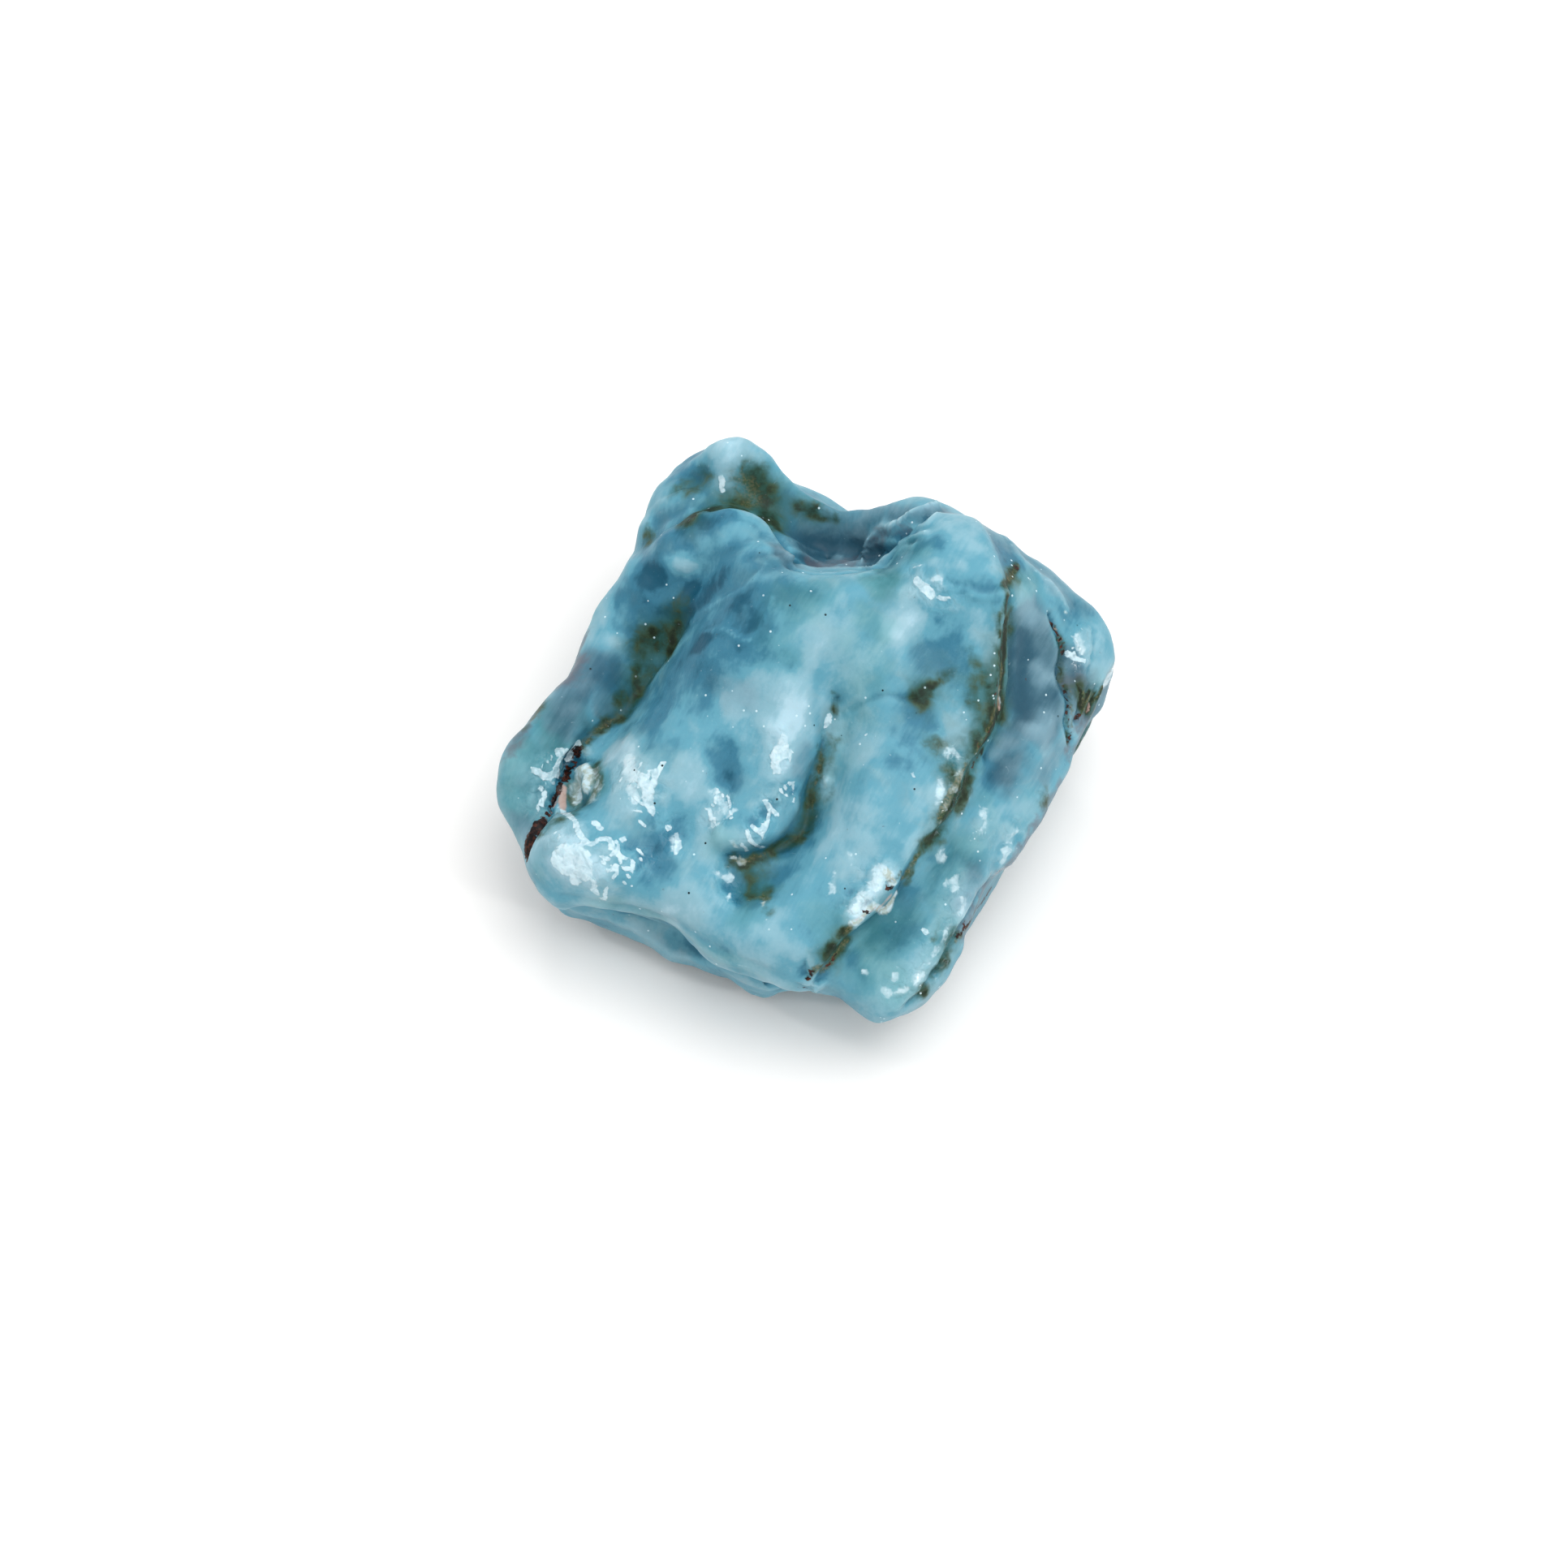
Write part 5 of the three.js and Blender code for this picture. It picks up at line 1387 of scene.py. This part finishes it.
@dataclass(frozen=True)
class LarimarFinish:
    """The colours and gloss of the stone."""

    deep: Colour = linear(0.09, 0.32, 0.41)
    mid: Colour = linear(0.23, 0.47, 0.565)
    sky: Colour = linear(0.37, 0.61, 0.685)
    pale: Colour = linear(0.52, 0.69, 0.745)
    milk: Colour = linear(0.66, 0.79, 0.84)
    dusk: Colour = linear(0.30, 0.47, 0.53)
    mist: Colour = linear(0.57, 0.70, 0.73)
    teal: Colour = linear(0.17, 0.42, 0.44)
    teal_pale: Colour = linear(0.40, 0.64, 0.67)
    slate: Colour = linear(0.16, 0.31, 0.38)
    lavender: Colour = linear(0.46, 0.60, 0.66)
    # painted shade of the steep flanks, from dark to light with the blue under it
    flank_shade: Colour = linear(0.17, 0.31, 0.37)
    flank_shade_pale: Colour = linear(0.38, 0.52, 0.57)
    mauve: Colour = linear(0.38, 0.37, 0.41)
    halo: Colour = linear(0.17, 0.36, 0.35)
    moss: Colour = linear(0.14, 0.27, 0.20)
    olive: Colour = linear(0.23, 0.30, 0.18)
    pitch: Colour = linear(0.07, 0.11, 0.07)
    ochre: Colour = linear(0.45, 0.43, 0.30)
    rust: Colour = linear(0.29, 0.15, 0.11)
    soot: Colour = linear(0.09, 0.07, 0.07)
    blush: Colour = linear(0.74, 0.63, 0.59)
    cream: Colour = linear(0.68, 0.72, 0.67)
    # the white of the painted highlights and glints, which the cream crusts also go towards
    skin: Colour = linear(0.78, 0.87, 0.90)
    speck: Colour = linear(0.05, 0.12, 0.14)
    satin: float = 0.42  # roughness of the plain surface
    wet: float = 0.10  # roughness of the shining chips and films
    specular: float = 0.16
    translucency: float = 0.30
    scatter: float = 0.9  # mm
    scatter_colour: Colour = (0.5, 0.9, 1.0)
    refraction: float = 1.5


class Shader:
    """A node tree being put together, one node a call."""

    def __init__(self, material: bpy.types.Material) -> None:
        """Empties the material's node tree.

        Args:
            material: The material to build.
        """
        material.use_nodes = True
        self.tree = material.node_tree
        self.tree.nodes.clear()
        self.place = self.tree.nodes.new("ShaderNodeTexCoord").outputs["Object"]

    def put(self, socket: Socket, value: Value) -> None:
        """Gives a node's input its value.

        Args:
            socket: The input.
            value: An output to link to it, or a number or a colour to set it to.
        """
        if isinstance(value, bpy.types.NodeSocket):
            self.tree.links.new(value, socket)
        elif isinstance(value, tuple):
            socket.default_value = (*value, 1.0) if len(socket.default_value) == 4 else value
        else:
            socket.default_value = value

    def weight(self, name: str) -> Socket:
        """Reads one of the stone's painted weights.

        Args:
            name: The weight's name.

        Returns:
            The weight.
        """
        node = self.tree.nodes.new("ShaderNodeAttribute")
        node.attribute_name = name
        return node.outputs["Fac"]

    def calc(self, operation: str, a: Value, b: Value) -> Socket:
        """Does one step of arithmetic.

        Args:
            operation: What is done.
            a: The first value.
            b: The second value.

        Returns:
            The result.
        """
        node = self.tree.nodes.new("ShaderNodeMath")
        node.operation = operation
        self.put(node.inputs[0], a)
        self.put(node.inputs[1], b)
        return node.outputs[0]

    def times(self, a: Value, b: Value) -> Socket:
        """Multiplies two values."""
        return self.calc("MULTIPLY", a, b)

    def sum(self, *terms: tuple[Value, float]) -> Socket:
        """Adds up values.

        Args:
            terms: The values, each with its own factor.

        Returns:
            Their sum.
        """
        total = 0.0
        for value, factor in terms:
            node = self.tree.nodes.new("ShaderNodeMath")
            node.operation = "MULTIPLY_ADD"
            self.put(node.inputs[0], value)
            node.inputs[1].default_value = factor
            self.put(node.inputs[2], total)
            total = node.outputs[0]
        return total

    def noise(self, place: Socket, scale: float, detail: float, distortion: float) -> Socket:
        """Cloudy noise around zero.

        Args:
            place: Where it is read.
            scale: How many of its clouds there are to a unit of that place.
            detail: How many finer layers it has.
            distortion: How far it is swirled.

        Returns:
            The noise, from about -0.5 to 0.5.
        """
        node = self.tree.nodes.new("ShaderNodeTexNoise")
        self.put(node.inputs["Vector"], place)
        node.inputs["Scale"].default_value = scale
        node.inputs["Detail"].default_value = detail
        node.inputs["Distortion"].default_value = distortion
        return self.calc("SUBTRACT", node.outputs["Fac"], 0.5)

    def grain(self, size: float, detail: float = 3.0, distortion: float = 0.0) -> Socket:
        """Cloudy noise around zero, with clouds of a size in millimetres."""
        return self.noise(self.place, 1.0 / (size * MM), detail, distortion)

    def fibre(self, across: float, along: float, heading: float) -> Socket:
        """Streaky noise around zero.

        Args:
            across: The width of its streaks, in millimetres.
            along: Their length, in millimetres.
            heading: The way they run, in degrees around the upright axis.

        Returns:
            The noise, from about -0.5 to 0.5.
        """
        turned = self.tree.nodes.new("ShaderNodeMapping")
        turned.vector_type = "TEXTURE"
        self.put(turned.inputs["Vector"], self.place)
        turned.inputs["Rotation"].default_value = (0.0, 0.0, math.radians(heading))
        turned.inputs["Scale"].default_value = (along * MM, across * MM, across * MM)
        return self.noise(turned.outputs["Vector"], 1.0, 2.0, 0.0)

    def swirl(self, scale: float, size: float) -> Socket:
        """Shifts the places that a pattern is read at.

        Args:
            scale: The size of the swirls, in millimetres.
            size: How far they shift it, in millimetres.

        Returns:
            The shifted places.
        """
        cloud = self.tree.nodes.new("ShaderNodeTexNoise")
        self.put(cloud.inputs["Vector"], self.place)
        cloud.inputs["Scale"].default_value = 1.0 / (scale * MM)
        shift = self.tree.nodes.new("ShaderNodeVectorMath")
        shift.operation = "MULTIPLY_ADD"
        self.put(shift.inputs[0], cloud.outputs["Color"])
        shift.inputs[1].default_value = (size * MM,) * 3
        self.put(shift.inputs[2], self.place)
        return shift.outputs["Vector"]

    def cells(self, scale: float, feature: str = "F1", place: Socket | None = None) -> Socket:
        """Distances in a pattern of irregular cells.

        Args:
            scale: The size of the cells, in millimetres.
            feature: What the distance is measured from.
            place: Where it is read, if not at the point itself.

        Returns:
            The distance, as a share of the cells' size.
        """
        node = self.tree.nodes.new("ShaderNodeTexVoronoi")
        node.feature = feature
        self.put(node.inputs["Vector"], place or self.place)
        node.inputs["Scale"].default_value = 1.0 / (scale * MM)
        return node.outputs["Distance"]

    def ease(self, value: Value, low: float, high: float, start: float = 0.0, end: float = 1.0) -> Socket:
        """Eases from one number to another.

        Args:
            value: What is followed.
            low: The value at which the easing begins.
            high: The value at which it ends.
            start: The result at low and below.
            end: The result at high and above.

        Returns:
            The eased result.
        """
        node = self.tree.nodes.new("ShaderNodeMapRange")
        node.interpolation_type = "SMOOTHSTEP"
        self.put(node.inputs["Value"], value)
        for name, number in (("From Min", low), ("From Max", high), ("To Min", start), ("To Max", end)):
            node.inputs[name].default_value = number
        return node.outputs["Result"]

    def mix(self, share: Value, a: Value, b: Value) -> Socket:
        """Mixes two colours.

        Args:
            share: How much of the second there is.
            a: The first colour.
            b: The second colour.

        Returns:
            The mixed colour.
        """
        node = self.tree.nodes.new("ShaderNodeMix")
        node.data_type = "RGBA"
        self.put(node.inputs[0], share)
        self.put(node.inputs[6], a)
        self.put(node.inputs[7], b)
        return node.outputs[2]

    def blend(self, share: Value, stops: tuple[tuple[float, Colour], ...]) -> Socket:
        """Runs through a row of colours.

        Args:
            share: How far along the row it is.
            stops: Where each colour stands, and the colour.

        Returns:
            The colour there.
        """
        node = self.tree.nodes.new("ShaderNodeValToRGB")
        ramp = node.color_ramp
        ramp.interpolation = "EASE"
        while len(ramp.elements) < len(stops):
            ramp.elements.new(1.0)
        for element, (place, colour) in zip(ramp.elements, stops):
            element.position = place
            element.color = (*colour, 1.0)
        self.put(node.inputs["Fac"], share)
        return node.outputs["Color"]

    def bump(self, height: Value, depth: float, strength: float, below: Socket | None = None) -> Socket:
        """Tilts the surface by a height.

        Args:
            height: The height, as a share of the depth.
            depth: How deep it goes, in millimetres.
            strength: How much of it is felt.
            below: The tilt that it is laid on, if any.

        Returns:
            The tilted normal.
        """
        node = self.tree.nodes.new("ShaderNodeBump")
        node.inputs["Strength"].default_value = strength
        node.inputs["Distance"].default_value = depth * MM
        self.put(node.inputs["Height"], height)
        if below is not None:
            self.put(node.inputs["Normal"], below)
        return node.outputs["Normal"]


class LarimarShader(Shader):
    """The stone's shader: its blue, what has grown in it and over it, and painted highlights and shade, in
    layers.
    """

    def __init__(self, material: bpy.types.Material, finish: LarimarFinish) -> None:
        """Sets out the patterns that the layers share.

        Args:
            material: The material to build.
            finish: Its colours and gloss.
        """
        super().__init__(material)
        self.finish = finish
        self.other = self.grain(5.2, 2.0, 0.4)
        self.broad = self.grain(3.6, 2.0, 0.5)
        self.small = self.grain(1.1, 3.0, 0.4)
        self.liquid = self.grain(0.7, 1.0, 2.2)
        self.frond = self.grain(0.55, 2.0, 0.6)
        self.tiny = self.grain(0.35, 3.0, 0.5)
        self.grit = self.grain(0.14, 2.0)
        self.web = self.cells(0.80, "DISTANCE_TO_EDGE", self.swirl(0.5, 0.6))
        # the hollow weight deepens the blue in hollows as painted shade and pales it on ridges as painted
        # light
        self.depth = self.sum(
            (self.weight("cloud"), 0.45), (self.broad, 0.80), (self.small, 0.34),
            (self.fibre(0.22, 1.8, 62.0), 0.16), (self.weight("hollow"), -0.06), (1.0, 0.48),
        )
        # where the painted highlight threads lie, which are also made wet and raised
        self.thread = self.cover(
            "thread", 0.26, 0.50, 1.0, (self.liquid, 0.45), (self.frond, 0.22), (self.tiny, 0.25)
        )

    def cover(
        self, name: str, low: float, high: float, most: float, *noises: tuple[Socket, float]
    ) -> Socket:
        """Works out how far a painted mineral covers the stone.

        Args:
            name: The mineral's weight.
            low: The weight at which it begins to show.
            high: The weight at which it shows in full.
            most: How much it covers there.
            noises: The patterns that fray its edge, each with its factor.

        Returns:
            The share that it covers.
        """
        return self.ease(self.sum((self.weight(name), 1.0), *noises), low, high, 0.0, most)

    def toned(self, dark: Colour, light: Colour) -> Socket:
        """Goes from a dark colour to a light one as the blue under it does."""
        return self.mix(self.ease(self.depth, 0.2, 0.9), dark, light)

    def body(self) -> Socket:
        """Makes the stone's blue: its mist, teal and slate clouds, and the painted shade of its flanks.

        Returns:
            The colour.
        """
        finish, small, broad, other = self.finish, self.small, self.broad, self.other
        blues = (
            (0.05, finish.deep), (0.28, finish.mid), (0.50, finish.sky), (0.74, finish.pale),
            (1.0, finish.milk),
        )
        colour = self.blend(self.depth, blues)
        mist = self.ease(self.sum((other, 1.0), (small, 0.5)), -0.02, 0.22, 0.0, 0.32)
        colour = self.mix(mist, colour, self.toned(finish.dusk, finish.mist))
        teal = self.cover("teal", 0.05, 0.9, 0.80, (other, 0.9), (small, 0.4))
        colour = self.mix(teal, colour, self.toned(finish.teal, finish.teal_pale))
        slate = self.cover("slate", 0.05, 0.75, 0.90, (small, 0.5), (broad, 0.4))
        colour = self.mix(slate, colour, self.toned(finish.slate, finish.lavender))
        # painted shade on the steep flanks, less of it in front
        flank_shade = self.cover("flank_shade", 0.0, 1.0, 0.60, (small, 0.6), (broad, 0.5))
        colour = self.mix(flank_shade, colour, self.toned(finish.flank_shade, finish.flank_shade_pale))
        mauve = self.cover("mauve", 0.40, 1.1, 0.65, (small, 1.2), (self.frond, 0.8))
        return self.mix(mauve, colour, finish.mauve)

    def growth(self, colour: Socket) -> Socket:
        """Lays the moss-like growth on a colour: its dim halo, its fronds and its dark cores.

        Args:
            colour: The colour under it.

        Returns:
            The colour with the growth.
        """
        finish, small, frond = self.finish, self.small, self.frond
        fray = self.sum((small, 1.0), (frond, 0.6), (self.tiny, 0.3))
        painted = self.weight("moss")
        moss = self.sum((painted, 1.0), (self.times(fray, self.ease(painted, 0.0, 0.30)), 1.0))
        around = self.sum((self.weight("halo"), 1.6), (small, 0.5), (frond, 0.3))
        colour = self.mix(self.ease(around, 0.08, 0.85, 0.0, 0.75), colour, finish.halo)
        olive = self.ease(self.sum((small, 1.0), (frond, 0.5)), -0.05, 0.15)
        fronds = self.mix(olive, finish.moss, finish.olive)
        colour = self.mix(self.ease(moss, 0.02, 0.95, 0.0, 0.90), colour, fronds)
        core = self.sum((moss, 1.0), (self.tiny, 0.4), (self.broad, 0.5))
        return self.mix(self.ease(core, 0.58, 1.20, 0.0, 0.90), colour, finish.pitch)

    def painted_highlights(self, colour: Socket) -> Socket:
        """Lays the painted highlights, as white skins and threads, on a colour.

        Args:
            colour: The colour under them.

        Returns:
            The colour with the painted highlights.
        """
        tiny, small, liquid, white = self.tiny, self.small, self.liquid, self.finish.skin
        # painted highlights: a white veil, then white skin broken into cells
        colour = self.mix(self.cover("skin", 0.1, 0.9, 0.35, (small, 0.6)), colour, white)
        skin = self.cover("skin", 0.12, 0.45, 1.0, (self.web, -1.0), (liquid, 0.8), (tiny, 0.5))
        solid = self.ease(self.sum((self.weight("skin"), 0.6), (tiny, 1.0)), 0.1, 0.7, 0.35, 0.9)
        colour = self.mix(self.times(skin, solid), colour, white)
        # painted highlights and glints along the threads
        solid = self.ease(self.sum((liquid, 0.8), (tiny, 1.0), (small, 0.5)), -0.16, 0.14, 0.55, 0.95)
        return self.mix(self.times(self.thread, solid), colour, white)

    def crusts(self, colour: Socket) -> Socket:
        """Lays the cream crusts, the blush, the ochre edges and the rust of the cracks on a colour.

        Args:
            colour: The colour under them.

        Returns:
            The colour with the crusts.
        """
        finish, tiny, frond, grit = self.finish, self.tiny, self.frond, self.grit
        # the crusts go from cream towards the white of the painted highlights
        crust = self.mix(self.ease(tiny, -0.12, 0.12), finish.cream, finish.skin)
        colour = self.mix(self.cover("cream", 0.25, 0.8, 0.85, (tiny, 0.6)), colour, crust)
        colour = self.mix(self.cover("blush", 0.25, 0.8, 0.85, (tiny, 0.5)), colour, finish.blush)
        earth = self.mix(self.ease(grit, -0.10, 0.14), finish.olive, finish.ochre)
        colour = self.mix(self.cover("ochre", 0.20, 0.85, 0.60, (tiny, 0.7), (frond, 0.7)), colour, earth)
        red = self.ease(self.sum((tiny, 1.0), (grit, 0.8)), -0.04, 0.20)
        rust = self.cover("rust", 0.35, 0.62, 1.0, (tiny, 0.8), (frond, 0.8), (grit, 0.8))
        return self.mix(rust, colour, self.mix(red, finish.soot, finish.rust))

    def grains(self, colour: Socket) -> Socket:
        """Scatters dark specks and bright glints over a colour.

        Args:
            colour: The colour under them.

        Returns:
            The colour with the grains.
        """
        speck = self.times(self.ease(self.cells(1.3), 0.060, 0.040), self.ease(self.other, -0.02, 0.03))
        colour = self.mix(speck, colour, self.finish.speck)
        glint = self.times(self.ease(self.cells(0.80), 0.095, 0.055), self.ease(self.broad, -0.05, 0.02))
        return self.mix(self.times(glint, 0.9), colour, self.finish.skin)

    def gloss(self) -> Socket:
        """Makes the chips and the threads wet-looking and the rest satin.

        Returns:
            The roughness.
        """
        wet = self.cover("crinkle", 0.15, 0.6, 1.0, (self.thread, 0.6), (self.small, 0.4))
        gain = self.finish.wet - self.finish.satin
        return self.sum((wet, gain), (self.small, 0.10), (self.finish.satin, 1.0))

    def relief(self) -> Socket:
        """Tilts the surface over its chips, its threads and its finest grain.

        Returns:
            The normal.
        """
        chips = self.times(self.ease(self.web, 0.0, 0.25), self.weight("crinkle"))
        normal = self.bump(chips, 0.08, 0.6)
        normal = self.bump(self.thread, 0.05, 0.6, normal)
        normal = self.bump(self.tiny, 0.06, 0.35, normal)
        return self.bump(self.grain(0.12, 2.0), 0.02, 0.25, normal)

    def build(self) -> None:
        """Joins the layers to the surface."""
        finish = self.finish
        colour = self.grains(self.crusts(self.painted_highlights(self.growth(self.body()))))
        surface = self.tree.nodes.new("ShaderNodeBsdfPrincipled")
        self.put(surface.inputs["Base Color"], colour)
        self.put(surface.inputs["Roughness"], self.gloss())
        self.put(surface.inputs["Normal"], self.relief())
        surface.inputs["IOR"].default_value = finish.refraction
        surface.inputs["Specular IOR Level"].default_value = finish.specular
        surface.inputs["Subsurface Weight"].default_value = finish.translucency
        surface.inputs["Subsurface Radius"].default_value = finish.scatter_colour
        surface.inputs["Subsurface Scale"].default_value = finish.scatter * MM
        output = self.tree.nodes.new("ShaderNodeOutputMaterial")
        self.put(output.inputs["Surface"], surface.outputs["BSDF"])


def larimar_material(finish: LarimarFinish) -> bpy.types.Material:
    """Makes the stone's material.

    Args:
        finish: Its colours and gloss.

    Returns:
        The material, which reads the painted weights.
    """
    material = bpy.data.materials.new("larimar")
    LarimarShader(material, finish).build()
    return material


# --- The studio --------------------------------------------------------------------------------------------


@dataclass(frozen=True)
class Softbox:
    """A soft studio light."""

    name: str
    place: tuple[float, float, float]  # mm
    size: float  # mm
    power: float  # W


@dataclass
class Studio:
    """The pale floor, the soft light and the camera."""

    floor_size: float = 3000.0  # mm
    floor_colour: Colour = (0.95, 0.935, 0.92)
    floor_roughness: float = 0.9
    floor_specular: float = 0.1
    wall: float = 0.30  # strength of the room's light from low down
    ceiling: float = 1.10  # and from overhead
    lights: tuple[Softbox, ...] = (
        Softbox("key", (90.0, 20.0, 300.0), 240.0, 0.46),
        Softbox("right", (200.0, -140.0, 170.0), 28.0, 0.13),
        Softbox("left", (-230.0, 40.0, 200.0), 28.0, 0.09),
        Softbox("back", (-60.0, 280.0, 170.0), 34.0, 0.09),
    )
    aim: tuple[float, float, float] = (0.0, 0.0, 8.0)  # of the lights
    elevation: float = 62.0  # degrees over the floor
    lens: float = 100.0  # mm
    sensor: float = 36.0  # mm
    nearest: float = 10.0  # mm from the camera
    view_width: float = 85.53  # mm across the picture at the target
    target: tuple[float, float, float] = (-1.29, -2.73, 6.63)

    def build(self) -> None:
        """Sets up the whole studio."""
        self.lay_floor()
        for light in self.lights:
            self.hang(light)
        self.light_room()
        self.place_camera()

    def lay_floor(self) -> None:
        """Lays the floor that the stone rests on."""
        bpy.ops.object.select_all(action="DESELECT")
        bpy.ops.mesh.primitive_plane_add(size=self.floor_size * MM)
        floor = bpy.context.object
        floor.name = "floor"
        material = bpy.data.materials.new("paper")
        material.use_nodes = True
        shader = material.node_tree.nodes["Principled BSDF"]
        shader.inputs["Base Color"].default_value = (*self.floor_colour, 1.0)
        shader.inputs["Roughness"].default_value = self.floor_roughness
        shader.inputs["Specular IOR Level"].default_value = self.floor_specular
        floor.data.materials.append(material)

    def hang(self, light: Softbox) -> None:
        """Hangs one softbox, turned towards the stone.

        Args:
            light: The softbox.
        """
        lamp = bpy.data.lights.new(light.name, "AREA")
        lamp.size = light.size * MM
        lamp.energy = light.power
        holder = bpy.data.objects.new(light.name, lamp)
        bpy.context.scene.collection.objects.link(holder)
        holder.location = Vector(light.place) * MM
        towards = Vector(self.aim) * MM - holder.location
        holder.rotation_euler = towards.to_track_quat("-Z", "Y").to_euler()

    def light_room(self) -> None:
        """Fills the room with white light, brighter from the ceiling than from the walls."""
        world = bpy.data.worlds.new("room")
        world.use_nodes = True
        nodes, links = world.node_tree.nodes, world.node_tree.links
        height = nodes.new("ShaderNodeSeparateXYZ")
        links.new(nodes.new("ShaderNodeTexCoord").outputs["Generated"], height.inputs["Vector"])
        strength = nodes.new("ShaderNodeMapRange")
        links.new(height.outputs["Z"], strength.inputs["Value"])
        strength.inputs["To Min"].default_value = self.wall
        strength.inputs["To Max"].default_value = self.ceiling
        background = nodes["Background"]
        background.inputs["Color"].default_value = (1.0, 1.0, 1.0, 1.0)
        links.new(strength.outputs["Result"], background.inputs["Strength"])
        scene = bpy.context.scene
        scene.world = world
        scene.view_settings.view_transform = "Standard"

    def place_camera(self) -> None:
        """Points the camera down at the stone, from the front."""
        data = bpy.data.cameras.new("camera")
        data.lens = self.lens
        data.sensor_width = self.sensor
        data.clip_start = self.nearest * MM
        camera = bpy.data.objects.new("camera", data)
        bpy.context.scene.collection.objects.link(camera)
        tilt = math.radians(self.elevation)
        back = Vector((0.0, -math.cos(tilt), math.sin(tilt)))
        distance = self.view_width * self.lens / self.sensor
        camera.location = (Vector(self.target) + back * distance) * MM
        camera.rotation_euler = back.to_track_quat("Z", "Y").to_euler()
        bpy.context.scene.camera = camera


def main() -> None:
    """Builds the stone and its studio."""
    logging.basicConfig(level=logging.INFO, format="%(message)s")
    stone = Stone().build()
    LOG.info("%s: %d faces", stone.name, len(stone.data.polygons))
    stone.data.materials.append(larimar_material(LarimarFinish()))
    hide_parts(NODE)
    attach(stone, "root")
    Studio().build()


if __name__ == "__main__":
    main()
